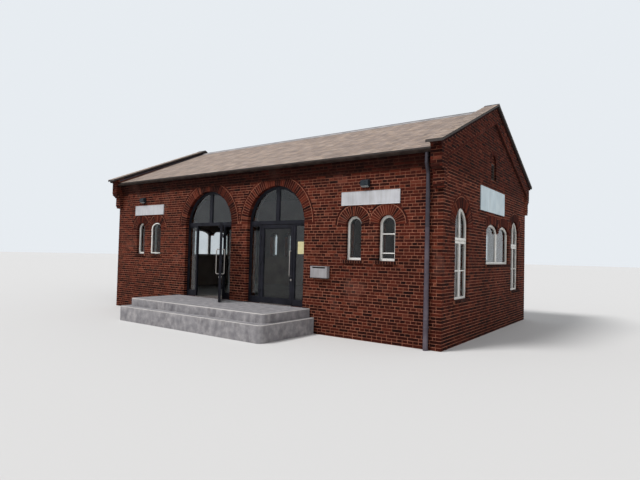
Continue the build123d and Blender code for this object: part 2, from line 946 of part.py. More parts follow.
# Louvred vent in each gable
louvre_pitch = (vent_top - vent_sill - 2 * vent_face) / louvre_count
with BuildPart() as gable_vents:
    with BuildSketch(gable_window_plane):
        with Locations((0, (vent_sill + vent_top) / 2)):
            Rectangle(vent_width, vent_top - vent_sill)
            Rectangle(
                vent_width - 2 * vent_face,
                vent_top - vent_sill - 2 * vent_face,
                mode=Mode.SUBTRACT,
            )
    extrude(amount=-window_depth)
    louvre_x = end_x - gable_window_reveal - window_depth / 2
    for number in range(louvre_count):
        louvre_z = vent_sill + vent_face + (number + 0.5) * louvre_pitch
        with Locations(Location((louvre_x, 0, louvre_z), (0, louvre_tilt, 0))):
            Box(window_depth, vent_width - vent_face, louvre_thickness)
    mirror(about=Plane.YZ)

# Bare boards on the front and on the right gable
with BuildPart() as front_signs:
    with BuildSketch(front_plane):
        with Locations((-sign_centre, sign_foot), (sign_centre, sign_foot)):
            Rectangle(sign_width, sign_height, align=(Align.CENTER, Align.MIN))
    extrude(amount=sign_thickness)

with BuildPart() as gable_sign:
    with BuildSketch(gable_plane):
        with Locations((gable_sign_centre, gable_sign_foot)):
            Rectangle(gable_sign_width, gable_sign_height, align=(Align.CENTER, Align.MIN))
    extrude(amount=sign_thickness)

# Lamps above the front boards: wedge-shaped floodlights that look down
lamp_drop = lamp_depth * tan(radians(lamp_tilt))
with BuildPart() as sign_lamps:
    for lamp_x in lamp_centres:
        with BuildSketch(section_at(lamp_x - lamp_width / 2)):
            with BuildLine():
                Polyline(
                    (front_y, lamp_foot),
                    (front_y - lamp_depth, lamp_foot + lamp_drop),
                    (front_y - lamp_depth, lamp_foot + lamp_height - lamp_drop),
                    (front_y, lamp_foot + lamp_height),
                    close=True,
                )
            make_face()
        extrude(amount=lamp_width)

# Letterbox beside the right portal
with BuildPart() as letterbox:
    with BuildSketch(front_plane):
        with Locations((letterbox_centre, letterbox_foot)):
            Rectangle(letterbox_width, letterbox_height, align=(Align.CENTER, Align.MIN))
    extrude(amount=letterbox_depth)
    fillet(letterbox.faces().sort_by(Axis.Y)[0].edges(), radius=letterbox_corner)

pieces = {
    "front_wall_left": front_wall_left,
    "front_wall_right": front_wall_right,
    "front_wall_pier": front_wall_pier,
    "front_wall_sill": front_wall_sill,
    "front_wall_head": front_wall_head,
    "back_wall": back_wall,
    "right_gable_wall": right_gable_wall,
    "left_gable_wall": left_gable_wall,
    "front_kneelers": front_kneelers,
    "back_kneelers": back_kneelers,
    "right_coping": right_coping,
    "left_coping": left_coping,
    "roof_front": roof_front,
    "roof_back": roof_back,
    "ridge_cap": ridge_cap,
    "front_cornice": front_cornice,
    "back_cornice": back_cornice,
    "front_gutter": front_gutter,
    "back_gutter": back_gutter,
    "front_downpipe": front_downpipe,
    "back_downpipe": back_downpipe,
    "floor_slab": floor_slab,
    "landing_slab": landing_slab,
    "landing_step": landing_step,
    "left_fanlight": left_fanlight,
    "right_fanlight": right_fanlight,
    "left_sidelights": left_sidelights,
    "right_sidelights": right_sidelights,
    "left_portal_panes": left_portal_panes,
    "right_portal_panes": right_portal_panes,
    "left_door": left_door,
    "left_door_pane": left_door_pane,
    "left_door_pulls": left_door_pulls,
    "right_door": right_door,
    "right_door_pane": right_door_pane,
    "right_door_pulls": right_door_pulls,
    "front_window_rims": front_window_rims,
    "back_window_rims": back_window_rims,
    "front_casements": front_casements,
    "back_casements": back_casements,
    "right_gable_frames": right_gable_frames,
    "left_gable_frames": left_gable_frames,
    "window_panes": window_panes,
    "gable_vents": gable_vents,
    "front_signs": front_signs,
    "gable_sign": gable_sign,
    "sign_lamps": sign_lamps,
    "letterbox": letterbox,
}

os.makedirs("parts", exist_ok=True)
for name, piece in pieces.items():
    piece.part.label = name
    export_step(piece.part, f"parts/{name}.step")
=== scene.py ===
# %% [markdown]
# # A small brick station building
#
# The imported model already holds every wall, roof slope, window frame and door leaf at
# its true place and size. This lesson dresses it: bricks and slates are laid one by
# one, bars, hinges and brackets are modelled, and each surface gets a material made
# of nodes. Everything is in metres, +Z is up and the front of the building faces -Y.

# %% Load the frame
import json
import math
import random

import bpy
from mathutils import Matrix, Vector

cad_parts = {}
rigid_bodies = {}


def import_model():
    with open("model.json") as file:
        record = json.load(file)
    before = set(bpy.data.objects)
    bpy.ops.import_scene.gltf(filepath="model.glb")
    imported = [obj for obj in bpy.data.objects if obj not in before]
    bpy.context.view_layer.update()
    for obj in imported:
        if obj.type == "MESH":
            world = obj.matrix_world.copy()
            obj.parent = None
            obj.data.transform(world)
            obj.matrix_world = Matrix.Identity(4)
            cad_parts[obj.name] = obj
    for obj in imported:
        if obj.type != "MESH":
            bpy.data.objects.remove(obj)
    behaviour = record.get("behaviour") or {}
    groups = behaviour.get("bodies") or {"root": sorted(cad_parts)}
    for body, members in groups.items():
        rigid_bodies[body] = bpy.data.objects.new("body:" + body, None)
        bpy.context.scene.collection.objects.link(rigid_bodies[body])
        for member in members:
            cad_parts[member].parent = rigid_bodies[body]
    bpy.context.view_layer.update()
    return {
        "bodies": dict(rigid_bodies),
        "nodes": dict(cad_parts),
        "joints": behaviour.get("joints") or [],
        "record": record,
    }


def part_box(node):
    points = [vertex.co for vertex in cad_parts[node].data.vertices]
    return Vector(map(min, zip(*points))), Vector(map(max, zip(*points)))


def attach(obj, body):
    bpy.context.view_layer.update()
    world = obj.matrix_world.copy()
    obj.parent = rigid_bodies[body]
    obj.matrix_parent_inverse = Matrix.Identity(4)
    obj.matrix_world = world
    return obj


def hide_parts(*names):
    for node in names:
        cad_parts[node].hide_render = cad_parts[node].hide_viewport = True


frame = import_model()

nodes = frame["nodes"]
print("nodes in the frame:", len(nodes))

# %% [markdown]
# ## Working habits
#
# Operators act on whatever is selected, so each modelling step starts by selecting
# nothing. Faces, edges and points are then picked in code, by where they are, and
# the edit-mode operator does the rest. Small helpers keep this readable: some start
# a piece, some pick a part of it and change it, and some move it or copy it.

# %% Helpers that start a piece
def select_only(*things):
    """Selects these objects and nothing else, and makes the first one active."""
    bpy.ops.object.select_all(action="DESELECT")
    for thing in things:
        thing.select_set(True)
    bpy.context.view_layer.objects.active = things[0]


def started(name, add, scale=(1, 1, 1), **settings):
    """A primitive from an add operator, with its place, turn and scale moved into its mesh."""
    bpy.ops.object.select_all(action="DESELECT")
    add(**settings)
    thing = bpy.context.object
    thing.name = name
    thing.scale = scale
    select_only(thing)
    bpy.ops.object.transform_apply(location=True, rotation=True, scale=True)
    return thing


def cube(name, low, high):
    """A box between two corners."""
    middle = [(a + b) / 2 for a, b in zip(low, high)]
    lengths = [b - a for a, b in zip(low, high)]
    return started(name, bpy.ops.mesh.primitive_cube_add, lengths, size=1, location=middle)


print("starting helpers ready")

# %% Helpers that pick a part and change it
X, Y, Z = range(3)
TOUCH = 1e-5


def everywhere(corners):
    """The test that picks every part."""
    return True


def at_most(axis, value):
    """A test that picks the parts that lie wholly at or under a value on an axis."""
    return lambda corners: all(corner[axis] < value + TOUCH for corner in corners)


def at_least(axis, value):
    """A test that picks the parts that lie wholly at or over a value on an axis."""
    return lambda corners: all(corner[axis] > value - TOUCH for corner in corners)


def edit_where(thing, kind, test=everywhere):
    """Enters edit mode with only the vertices, edges or faces that pass the test selected."""
    select_only(thing)
    bpy.ops.object.mode_set(mode="EDIT")
    bpy.ops.mesh.select_mode(type=kind)
    bpy.ops.mesh.select_all(action="DESELECT")
    bpy.ops.object.mode_set(mode="OBJECT")
    mesh = thing.data
    parts = {"VERT": mesh.vertices, "EDGE": mesh.edges, "FACE": mesh.polygons}[kind]
    for part in parts:
        corners = [mesh.vertices[i].co for i in part.vertices] if kind != "VERT" else [part.co]
        part.select = test(corners)
    bpy.ops.object.mode_set(mode="EDIT")


def leave_edit():
    """Back to object mode."""
    bpy.ops.object.mode_set(mode="OBJECT")


def draw_out(x, y, z):
    """Extrudes what is picked, and moves the new part."""
    bpy.ops.mesh.extrude_region_move(TRANSFORM_OT_translate={"value": (x, y, z)})


def face_outward():
    """Ends an edit: doubled points are merged, and every face is turned outwards."""
    bpy.ops.mesh.select_all(action="SELECT")
    bpy.ops.mesh.remove_doubles(threshold=TOUCH)
    bpy.ops.mesh.normals_make_consistent(inside=False)
    leave_edit()


def shift_where(thing, kind, test, way):
    """Moves the picked parts."""
    edit_where(thing, kind, test)
    bpy.ops.transform.translate(value=way)
    leave_edit()


def sink_where(thing, test, rim, way):
    """Leaves a rim round the picked faces, and moves what is inside it."""
    edit_where(thing, "FACE", test)
    bpy.ops.mesh.inset(thickness=rim)
    bpy.ops.transform.translate(value=way)
    leave_edit()


def bevel_where(thing, test, width, steps=1):
    """Rounds or chamfers the picked edges."""
    edit_where(thing, "EDGE", test)
    bpy.ops.mesh.bevel(offset=width, segments=steps)
    leave_edit()
    return thing


def shade_smooth(thing, degrees):
    """Smooth shading over edges blunter than this, in degrees."""
    select_only(thing)
    bpy.ops.object.shade_smooth_by_angle(angle=math.radians(degrees))


def apply_modifier(thing, kind, **settings):
    """Adds a modifier and applies it."""
    modifier = thing.modifiers.new(kind, kind)
    for key, value in settings.items():
        setattr(modifier, key, value)
    select_only(thing)
    bpy.ops.object.modifier_apply(modifier=modifier.name)


print("editing helpers ready")

# %% Helpers that move, copy and join
MIRROR_X = Matrix.Scale(-1, 4, (1, 0, 0))


def shift(x=0.0, y=0.0, z=0.0):
    """A move, as a matrix."""
    return Matrix.Translation((x, y, z))


def swing(angle):
    """A turn about an upright line through x = 0, y = 0, as a matrix."""
    return Matrix.Rotation(angle, 4, "Z")


def turned(thing, matrix):
    """Applies a matrix to a piece's mesh, and keeps its faces outward if it mirrors."""
    thing.data.transform(matrix)
    if matrix.determinant() < 0:
        thing.data.flip_normals()
    return thing


def copied(thing, name, matrix):
    """A copy with its own mesh, moved by a matrix."""
    twin = thing.copy()
    twin.data = thing.data.copy()
    twin.name = name
    bpy.context.scene.collection.objects.link(twin)
    return turned(twin, matrix)


def join(name, things):
    """Joins several objects into one piece."""
    select_only(*things)
    bpy.ops.object.join()
    things[0].name = name
    things[0].data.name = name
    return things[0]


def discard(*things):
    """Removes models that only served as patterns."""
    for thing in things:
        bpy.data.objects.remove(thing)


print("moving helpers ready")

# %% [markdown]
# ## Materials
#
# A finish is a Principled shader with a few nodes in front of it. The patterns read
# Object coordinates, which here are the building's own metres, so a brick stain or a
# streak of rain keeps its size and place on every piece. Constants go straight on the
# shader's sockets. The class below gives each kind of node a short word: stain is a
# colour that follows a noise, shade multiplies layers over it, and bump is relief.

# %% Helpers for materials
WHITE, BLACK = (1, 1, 1), (0, 0, 0)
SOCKETS = {
    "metallic": "Metallic",
    "specular": "Specular IOR Level",
    "clear": "Transmission Weight",
    "index": "IOR",
}


def feed(tree, socket, value):
    """Gives an input its value: a link from another socket, a number or a colour."""
    if isinstance(value, bpy.types.NodeSocket):
        tree.links.new(value, socket)
    else:
        socket.default_value = (*value, 1) if socket.type == "RGBA" else value


def add_node(tree, kind, **settings):
    """A node of one kind. Each setting is one of its inputs or one of its properties."""
    node = tree.nodes.new(kind)
    for key, value in settings.items():
        if key in node.inputs:
            feed(tree, node.inputs[key], value)
        else:
            setattr(node, key, value)
    return node


class Finish:
    """A material in the making: a Principled shader, and short words for the nodes before it."""

    def __init__(self, name, roughness, **constants):
        self.material = bpy.data.materials.new(name)
        self.material.use_nodes = True
        self.tree = self.material.node_tree
        self.shader = self.tree.nodes["Principled BSDF"]
        self.shader.inputs["Roughness"].default_value = roughness
        for word, value in constants.items():
            self.shader.inputs[SOCKETS[word]].default_value = value

    def axis(self, vector, axis):
        """One axis of a vector."""
        return add_node(self.tree, "ShaderNodeSeparateXYZ", Vector=vector).outputs[axis]

    def place(self):
        """Where a point of the surface is, in the building's own metres."""
        return add_node(self.tree, "ShaderNodeTexCoord").outputs["Object"]

    def height(self):
        """How high a point of the surface is."""
        return self.axis(self.place(), Z)

    def facing(self, axis):
        """How far the surface faces along an axis."""
        return self.axis(add_node(self.tree, "ShaderNodeNewGeometry").outputs["Normal"], axis)

    def tone(self):
        """The number that each laid brick or slate carries."""
        return add_node(self.tree, "ShaderNodeAttribute", attribute_name="tone").outputs["Fac"]

    def noise(self, scale, detail, stretch=(1, 1, 1)):
        """Noise over the building; stretch over 1 makes it finer that way."""
        mapping = add_node(self.tree, "ShaderNodeMapping", Vector=self.place(), Scale=stretch)
        return add_node(self.tree, "ShaderNodeTexNoise", Vector=mapping.outputs["Vector"],
                        Scale=scale, Detail=detail).outputs["Fac"]

    def reckon(self, operation, *values):
        """The result of a Math node; each value is a socket or a number."""
        node = add_node(self.tree, "ShaderNodeMath", operation=operation)
        for socket, value in zip(node.inputs, values):
            feed(self.tree, socket, value)
        return node.outputs[0]

    def rise(self, low, high):
        """Nought below one height and one above another."""
        limits = {"From Min": low, "From Max": high}
        return add_node(self.tree, "ShaderNodeMapRange", Value=self.height(), **limits).outputs["Result"]

    def ramp(self, value, *stops):
        """Colours along a value: each stop is a position and a colour."""
        node = add_node(self.tree, "ShaderNodeValToRGB", Fac=value)
        elements = node.color_ramp.elements
        while len(elements) < len(stops):
            elements.new(0.5)
        for element, (position, color) in zip(elements, stops):
            element.position = position
            element.color = (*color, 1)
        return node.outputs["Color"]

    def stain(self, pattern, *stops):
        """Colours along a noise; pattern is its scale, its detail and perhaps its stretch."""
        return self.ramp(self.noise(*pattern), *stops)

    def blend(self, kind, factor, first, second):
        """Mixes two colours. Each value is a socket or plain."""
        node = add_node(self.tree, "ShaderNodeMix", data_type="RGBA", blend_type=kind)
        for index, value in ((0, factor), (6, first), (7, second)):
            feed(self.tree, node.inputs[index], value)
        return node.outputs[2]

    def shade(self, color, *layers):
        """Multiplies layers over a colour, each with its strength."""
        for strength, layer in layers:
            color = self.blend("MULTIPLY", strength, color, layer)
        return color

    def color(self, value):
        """Gives the shader its colour."""
        feed(self.tree, self.shader.inputs["Base Color"], value)

    def bump(self, pattern, depth, strength):
        """Relief from a noise, its depth in metres."""
        relief = self.noise(*pattern)
        node = add_node(self.tree, "ShaderNodeBump", Height=relief, Distance=depth, Strength=strength)
        feed(self.tree, self.shader.inputs["Normal"], node.outputs["Normal"])


def wandering(name, roughness, pattern, low, high, relief=None, spread=(0.3, 0.7), **constants):
    """A simple material: its colour wanders between two tones, and relief is what bump takes."""
    finish = Finish(name, roughness, **constants)
    finish.color(finish.stain(pattern, (spread[0], low), (spread[1], high)))
    if relief:
        finish.bump(*relief)
    return finish.material


def coat(thing, material):
    """Gives a modelled piece its material."""
    thing.data.materials.append(material)
    return thing


def dress(names, material):
    """Gives CAD nodes a material in every slot."""
    for name in names:
        slots = nodes[name].data.materials
        for index in range(len(slots)):
            slots[index] = material
        if not slots:
            slots.append(material)


print("material helpers ready")

# %% [markdown]
# ## Brick and mortar
#
# The bricks are hand-moulded and coal-fired: mostly dark red-brown, some nearly
# black, a few pinkish. Each brick carries its own "tone" number, laid down with it
# below, and a ramp turns the number into a colour. A wide soft noise adds damp, a
# finer one pale bloom. The walls grow darker towards their foot, and painted shade
# darkens them under the eaves. The mortar is lighter and tan, with the same painted shade.

# %% Brick and mortar materials
EAVES_SHADE_FROM, EAVES_SHADE_FULL = 3.50, 3.70
DARKER_FOOT_TOP = 1.4

clay = Finish("fired_brick", 0.85, specular=0.06)
fired = clay.ramp(
    clay.tone(),
    (0.0, (0.011, 0.004, 0.004)),
    (0.25, (0.030, 0.007, 0.005)),
    (0.55, (0.070, 0.0135, 0.0080)),
    (0.8, (0.114, 0.024, 0.013)),
    (1.0, (0.178, 0.056, 0.034)),
)
speckle = clay.stain((60, 6), (0.35, (0.45, 0.42, 0.42)), (0.6, WHITE))
damp = clay.stain((0.7, 3), (0.35, (0.68, 0.66, 0.66)), (0.62, (1.08, 1.04, 1.02)))
weathered = clay.shade(fired, (0.55, speckle), (0.9, damp))
bloom = clay.stain((1.4, 8), (0.60, BLACK), (0.78, (0.16, 0.16, 0.16)))
bloomed = clay.blend("MIX", bloom, weathered, (0.34, 0.19, 0.15))
# Painted shade: the bricks darken under the eaves, where the eave's shadow falls.
painted_eaves_shade = clay.ramp(clay.rise(EAVES_SHADE_FROM, EAVES_SHADE_FULL), (0.0, WHITE), (1.0, (0.72, 0.66, 0.66)))
# The walls are painted darker towards their foot.
darker_towards_foot = clay.ramp(
    clay.rise(0.0, DARKER_FOOT_TOP),
    (0.0, (0.52, 0.50, 0.50)),
    (0.35, (0.76, 0.75, 0.75)),
    (1.0, WHITE),
)
clay.color(clay.shade(bloomed, (1.0, painted_eaves_shade), (1.0, darker_towards_foot)))
clay.bump((140, 5), 0.0015, 0.8)
fired_brick = clay.material


def mortar_tint(finish):
    """The colour of the lime mortar: tan, with patches of soot, and painted shade under the eaves."""
    sand = finish.stain((9, 6), (0.3, (0.20, 0.074, 0.045)), (0.7, (0.38, 0.154, 0.096)))
    soot = finish.stain((0.9, 4), (0.35, (0.6, 0.58, 0.58)), (0.65, WHITE))
    # Painted shade under the eaves.
    eaves = finish.ramp(finish.rise(EAVES_SHADE_FROM, EAVES_SHADE_FULL), (0.0, WHITE), (1.0, (0.50, 0.44, 0.42)))
    return finish.shade(sand, (0.8, soot), (1.0, eaves))


print("fired brick ready")

# %% [markdown]
# ## One brick
#
# A brick of this region is 228 by 108 by 54 mm, and one course with its joint is
# 66.7 mm. It starts as a cube and its front edges are bevelled, because worn edges
# are what makes brickwork look like brickwork in raking light. Only the front of a
# brick is ever seen, so the model keeps its face at y = 0 and runs into the wall.
# Thousands of copies come from it, so it has just twenty triangles.

# %% Model the bricks
COURSE = 0.2 / 3
BRICK_LONG, BRICK_WIDE, BRICK_HIGH = 0.228, 0.108, 0.054
BRICK_DEEP = 0.05
UPRIGHT_JOINT = 0.0107
BRICK_WEAR = 0.003
patterns = []


def brick_model(name, length, high=BRICK_HIGH, far_high=None):
    """One brick with worn front edges; for an arch its far end is made higher."""
    brick = cube(name, (-length / 2, 0, -high / 2), (length / 2, BRICK_DEEP, high / 2))
    if far_high:
        edit_where(brick, "VERT", at_least(X, length / 2))
        bpy.ops.transform.resize(value=(1, 1, far_high / high), center_override=(length / 2, 0, 0))
        leave_edit()
    bevel_where(brick, at_most(Y, 0), BRICK_WEAR)
    patterns.append(coat(brick, fired_brick))
    return brick


stretcher = brick_model("stretcher", BRICK_LONG)
header = brick_model("header", BRICK_WIDE)
print("triangles in a brick:", sum(len(face.vertices) - 2 for face in stretcher.data.polygons))

# %% [markdown]
# ## Laying by Geometry Nodes
#
# A mason's line, in Blender, is a cloud of points: each point says where a brick
# goes, how it is turned, how far it is cut and which tone it has. A short Geometry
# Nodes tree puts the model on every point and makes the copies real. Arrays could
# do a plain wall, but not the cut bricks beside the windows or the fans over the
# arches, which is why points are used. The modifier is applied, so the finished
# wall is an ordinary mesh.

# %% A function that lays copies of a model
luck = random.Random(7322)
TONE_SPREAD = (2.2, 2.6)


class Spot:
    """Where one copy goes: place, tilt and turn on its face, size factors and tone."""

    def __init__(self, at, spin=0.0, size=(1, 1, 1), tone=None, tilt=0.0):
        self.at, self.spin, self.size, self.tilt = Vector(at), spin, size, tilt
        self.tone = luck.betavariate(*TONE_SPREAD) if tone is None else tone
        self.model = None


def laying_nodes(name, model):
    """A Geometry Nodes tree that puts real copies of the model on points."""
    tree = bpy.data.node_groups.new(name, "GeometryNodeTree")
    for way in ("INPUT", "OUTPUT"):
        tree.interface.new_socket("Geometry", in_out=way, socket_type="NodeSocketGeometry")
    turn, size = (add_node(tree, "GeometryNodeInputNamedAttribute", data_type="FLOAT_VECTOR", Name=key)
                  for key in ("turn", "size"))
    copies = add_node(
        tree, "GeometryNodeInstanceOnPoints",
        Points=add_node(tree, "NodeGroupInput").outputs[0],
        Instance=add_node(tree, "GeometryNodeObjectInfo", Object=model).outputs["Geometry"],
        Rotation=turn.outputs["Attribute"],
        Scale=size.outputs["Attribute"],
    )
    real = add_node(tree, "GeometryNodeRealizeInstances", Geometry=copies.outputs["Instances"])
    feed(tree, add_node(tree, "NodeGroupOutput").inputs[0], real.outputs["Geometry"])
    return tree


def lay(name, model, spots, yaw=0.0):
    """One mesh of real copies of the model, a copy on every spot, all turned by yaw."""
    around = Matrix.Rotation(yaw, 3, "Z")
    mesh = bpy.data.meshes.new(name)
    mesh.from_pydata([around @ spot.at for spot in spots], [], [])
    turns = [angle for spot in spots for angle in (spot.tilt, spot.spin, yaw)]
    sizes = [factor for spot in spots for factor in spot.size]
    tones = [spot.tone for spot in spots]
    mesh.attributes.new("turn", "FLOAT_VECTOR", "POINT").data.foreach_set("vector", turns)
    mesh.attributes.new("size", "FLOAT_VECTOR", "POINT").data.foreach_set("vector", sizes)
    mesh.attributes.new("tone", "FLOAT", "POINT").data.foreach_set("value", tones)
    laid = bpy.data.objects.new(name, mesh)
    bpy.context.scene.collection.objects.link(laid)
    apply_modifier(laid, "NODES", node_group=laying_nodes(name, model))
    for spare in ("turn", "size"):
        laid.data.attributes.remove(laid.data.attributes[spare])
    return laid


print("masonry tools ready")

# %% [markdown]
# ## How the walls are set out
#
# Each wall has its own level line "along" it, seen from outside and running to the
# right, so one set of functions lays all four. The wall is then turned about the
# building's middle. A hole is a centre, a half width, a sill, the height where its
# head springs and how far the head rises. For every course the function works out
# which stretches are free, and the bond is cut to fit them, as a mason would.

# %% Sizes of the walls, from the frame
wall_half_depth = -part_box("front_wall_pier")[0].y
room_half_length, room_half_depth, floor_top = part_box("floor_slab")[1]
wall_half_length = room_half_length + wall_half_depth - room_half_depth
kneeler_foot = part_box("front_kneelers")[0].z
band_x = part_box("front_kneelers")[1].x
cornice_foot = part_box("front_cornice")[0].z
parapet_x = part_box("front_cornice")[1].x
gable_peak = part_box("right_gable_wall")[1].z
coping_reach, coping_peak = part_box("right_coping")[1].yz
RAKE_ANGLE = math.radians(23.8)
rake = math.tan(RAKE_ANGLE)
band_peak = coping_peak - 0.503
band_leg = wall_half_depth - 0.05
EDGE_LAP = 0.004
FRONT, RIGHT, BACK, LEFT = 0.0, math.pi / 2, math.pi, -math.pi / 2
print("walls run to", round(wall_half_length, 3), "and", round(wall_half_depth, 3))

# %% Holes in the walls
LOBE_CENTRE = 0.668
LOBE_TUCK, LOBE_LEAN = 0.055, 0.6
OUTER_ROW = 0.034
WHOLE_RING = BRICK_LONG + UPRIGHT_JOINT + OUTER_ROW


class Hole:
    """An opening: middle, half width, sill, springing and rise of its head, recess of its frame, ring."""

    def __init__(self, middle, half, foot, springing, rise, recess, ring=WHOLE_RING):
        self.middle, self.half, self.foot = middle, half, foot
        self.springing, self.rise, self.recess, self.ring = springing, rise, recess, ring

    def half_at(self, z):
        """Half width at a height of the hole, or of the fan around its head."""
        if z + BRICK_HIGH / 2 < self.foot:
            return 0.0
        up = z - self.springing
        if up <= 0:
            return self.half
        if self.rise < self.half:
            radius, height = self.rise + LOBE_CENTRE + self.ring, up + LOBE_CENTRE
            under = self.half * math.sqrt(max(1 - (max(up - BRICK_HIGH / 2, 0) / self.rise) ** 2, 0))
            beside = max(under, self.half - LOBE_TUCK + LOBE_LEAN * up)
            return min(math.sqrt(radius**2 - height**2), beside) if height < radius else 0.0
        radius = self.half + self.ring
        return math.sqrt(radius**2 - up**2) if up < radius else 0.0


PORTAL_MIDDLE, PORTAL_HALF, PORTAL_SPRINGING, PORTAL_RECESS = 1.235, 0.94, 2.59, 0.1
WINDOW_MIDDLES, WINDOW_HALF = (3.55, 4.37), 0.2
WINDOW_SILL, WINDOW_SPRINGING, WINDOW_RECESS = 26 * COURSE, 2.51, 0.08
TALL_MIDDLES, TALL_HALF, TALL_SILL, TALL_SPRINGING = (-2.26, 2.15), 0.41, 0.955, 2.505
DOUBLE_MIDDLE, DOUBLE_SILL, DOUBLE_SPRINGING = 0.47, 1.695, 2.48
LOBE_HALF, LOBE_RISE = 0.51, 0.22
GABLE_RECESS = 0.05
VENT_HALF, VENT_SILL, VENT_SPRINGING, VENT_RECESS = 0.21, 3.815, 4.25, 0.04


def round_hole(middle, half, foot, springing, recess, **ring):
    """A hole whose head is a half circle."""
    return Hole(middle, half, foot, springing, half, recess, **ring)


portals = [round_hole(side * PORTAL_MIDDLE, PORTAL_HALF, floor_top, PORTAL_SPRINGING, PORTAL_RECESS)
           for side in (-1, 1)]
small_windows = [round_hole(side * x, WINDOW_HALF, WINDOW_SILL, WINDOW_SPRINGING, WINDOW_RECESS)
                 for side in (-1, 1) for x in WINDOW_MIDDLES]


def gable_holes(side):
    """The windows of one gable; side is -1 for the mirrored left one."""
    tall = [round_hole(side * y, TALL_HALF, TALL_SILL, TALL_SPRINGING, GABLE_RECESS) for y in TALL_MIDDLES]
    lobes = [Hole(side * DOUBLE_MIDDLE + x, LOBE_HALF, DOUBLE_SILL, DOUBLE_SPRINGING, LOBE_RISE,
                  GABLE_RECESS, ring=BRICK_LONG)
             for x in (-LOBE_HALF, LOBE_HALF)]
    vent = round_hole(0, VENT_HALF, VENT_SILL, VENT_SPRINGING, VENT_RECESS, ring=BRICK_WIDE)
    return tall, lobes, vent


print("portals and small windows:", len(portals) + len(small_windows))

# %% Free stretches of a course
SLIVER = 0.035
HOLE_LIP = 0.003


def free_stretches(low, high, holes, z, corner=None):
    """The stretches of a course that no hole takes, each with the depths of its two end bricks."""
    taken = []
    for hole in holes:
        head = z > hole.springing
        half = hole.half_at(z) if head else max(hole.half_at(z - BRICK_HIGH / 2), hole.half_at(z))
        if half > 0:
            lip = 0.0 if head else HOLE_LIP
            taken.append((hole.middle - half + lip, hole.middle + half - lip, hole.recess))
    stretches, start, depth = [], low, corner
    for left, right, recess in sorted(taken):
        if left - start > SLIVER:
            stretches.append((start, left, depth, recess))
        if right > start:
            start, depth = right, recess
    if high - start > SLIVER:
        stretches.append((start, high, depth, corner))
    return stretches


def whole(low, high):
    """One stretch with nothing in its way."""
    return [(low, high, None, None)]


print("stretches of a course through the windows:", len(free_stretches(-5, 5, small_windows, 2.0)))

# %% One course of bricks
PROUD = 0.005
RING_PROUD = 0.0068
BACK_GAP = 0.001
UNEVEN_OUT, UNEVEN_TURN, UNEVEN_HIGH = 0.0008, 0.004, (0.985, 1.01)


def brick_spot(along, z, length, wall_out, proud=PROUD, deep=BRICK_DEEP, spin=0.0, high=BRICK_HIGH,
               tone=None, model=None):
    """A spot for a brick of this length, with the small unevenness of hand-made bricks."""
    out = proud + luck.uniform(-UNEVEN_OUT, UNEVEN_OUT)
    full = BRICK_LONG if model or length > (BRICK_LONG + BRICK_WIDE) / 2 else BRICK_WIDE
    size = (length / full, (deep + out) / BRICK_DEEP, high / BRICK_HIGH * luck.uniform(*UNEVEN_HIGH))
    spot = Spot((along, -wall_out - out, z), spin + luck.uniform(-UNEVEN_TURN, UNEVEN_TURN), size, tone)
    spot.model = model or (stretcher if full == BRICK_LONG else header)
    return spot


def course_spots(number, stretches, wall_out, parity=0, proud=PROUD, inside=BRICK_DEEP):
    """The bricks of one course: stretchers and headers in turn, course by course."""
    spots = []
    z = (number + 0.5) * COURSE
    pitch = (BRICK_LONG + UPRIGHT_JOINT) / (1 if number % 2 == parity else 2)
    phase = 0.0 if number % 4 < 2 else pitch / 2
    for left, right, left_depth, right_depth in stretches:
        first = math.ceil((left + SLIVER - phase) / pitch)
        last = math.floor((right - SLIVER - phase) / pitch)
        ends = [left] + [phase + step * pitch for step in range(first, last + 1)] + [right]
        for start, stop in zip(ends, ends[1:]):
            a = start + (UPRIGHT_JOINT / 2 if start != left else 0)
            b = stop - (UPRIGHT_JOINT / 2 if stop != right else 0)
            deep = (start == left and left_depth) or (stop == right and right_depth) or inside
            spots.append(brick_spot((a + b) / 2, z, b - a, wall_out, proud, deep - BACK_GAP))
    return spots


def shell_piece(piece, replaced=None):
    """Says that a piece rides on the building, and what it replaces."""
    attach(piece, "shell")
    if replaced:
        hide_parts(replaced)


def lay_bricks(name, walls):
    """Lays the bricks of one piece: walls is a list of (turn of the wall, spots)."""
    laid, count = [], 0
    for yaw, spots in walls:
        count += len(spots)
        for model in patterns:
            group = [spot for spot in spots if spot.model == model]
            if group:
                laid.append(lay(name + model.name, model, group, yaw))
    shell_piece(join(name, laid))
    print(name, "bricks:", count)


print("course tools ready")

# %% [markdown]
# ## Fans over the openings
#
# A round arch is one ring of bricks on end, with a thin ring of bricks laid flat
# around it. The bricks of a fan are rubbed to a taper, so each size of arch has its
# own model. The low heads of the double window fan out from a point far below. Where
# two rings meet, the bricks on that side are cut at the middle line.

# %% Models for the fans
RING_PITCH = 0.072
INNER_JOINT, OUTER_JOINT = 0.008, 0.011


def fan_model(name, hole, ring):
    """How many bricks a fan has, and the tapered model for them."""
    inner = math.pi * hole.half - HOLE_LIP
    outer = math.pi * (hole.half + ring)
    count = round(outer / RING_PITCH)
    return count, brick_model(name, BRICK_LONG, inner / count - INNER_JOINT, outer / count - OUTER_JOINT)


portal_fan = fan_model("portal_voussoir", portals[0], BRICK_LONG)
small_fan = fan_model("small_voussoir", small_windows[0], BRICK_LONG)
tall_fan = fan_model("tall_voussoir", gable_holes(1)[0][0], BRICK_LONG)
vent_fan = fan_model("vent_voussoir", gable_holes(1)[2], BRICK_WIDE)
lobe_fan = 16, brick_model("lobe_voussoir", BRICK_LONG, 0.052, 0.064)
key_brick = brick_model("key_brick", BRICK_LONG, 0.012, 0.052)
print("bricks in a portal's fan:", portal_fan[0])

# %% Bricks in the arches
RING_GAP = 0.011
LOBE_SHARE = 0.96
FLAT_LONG, FLAT_HIGH, FLAT_JOINT = BRICK_LONG * 0.7, 0.042, 0.006
CUT_TURN, SHORTEST_FLAT = 0.06, 0.03


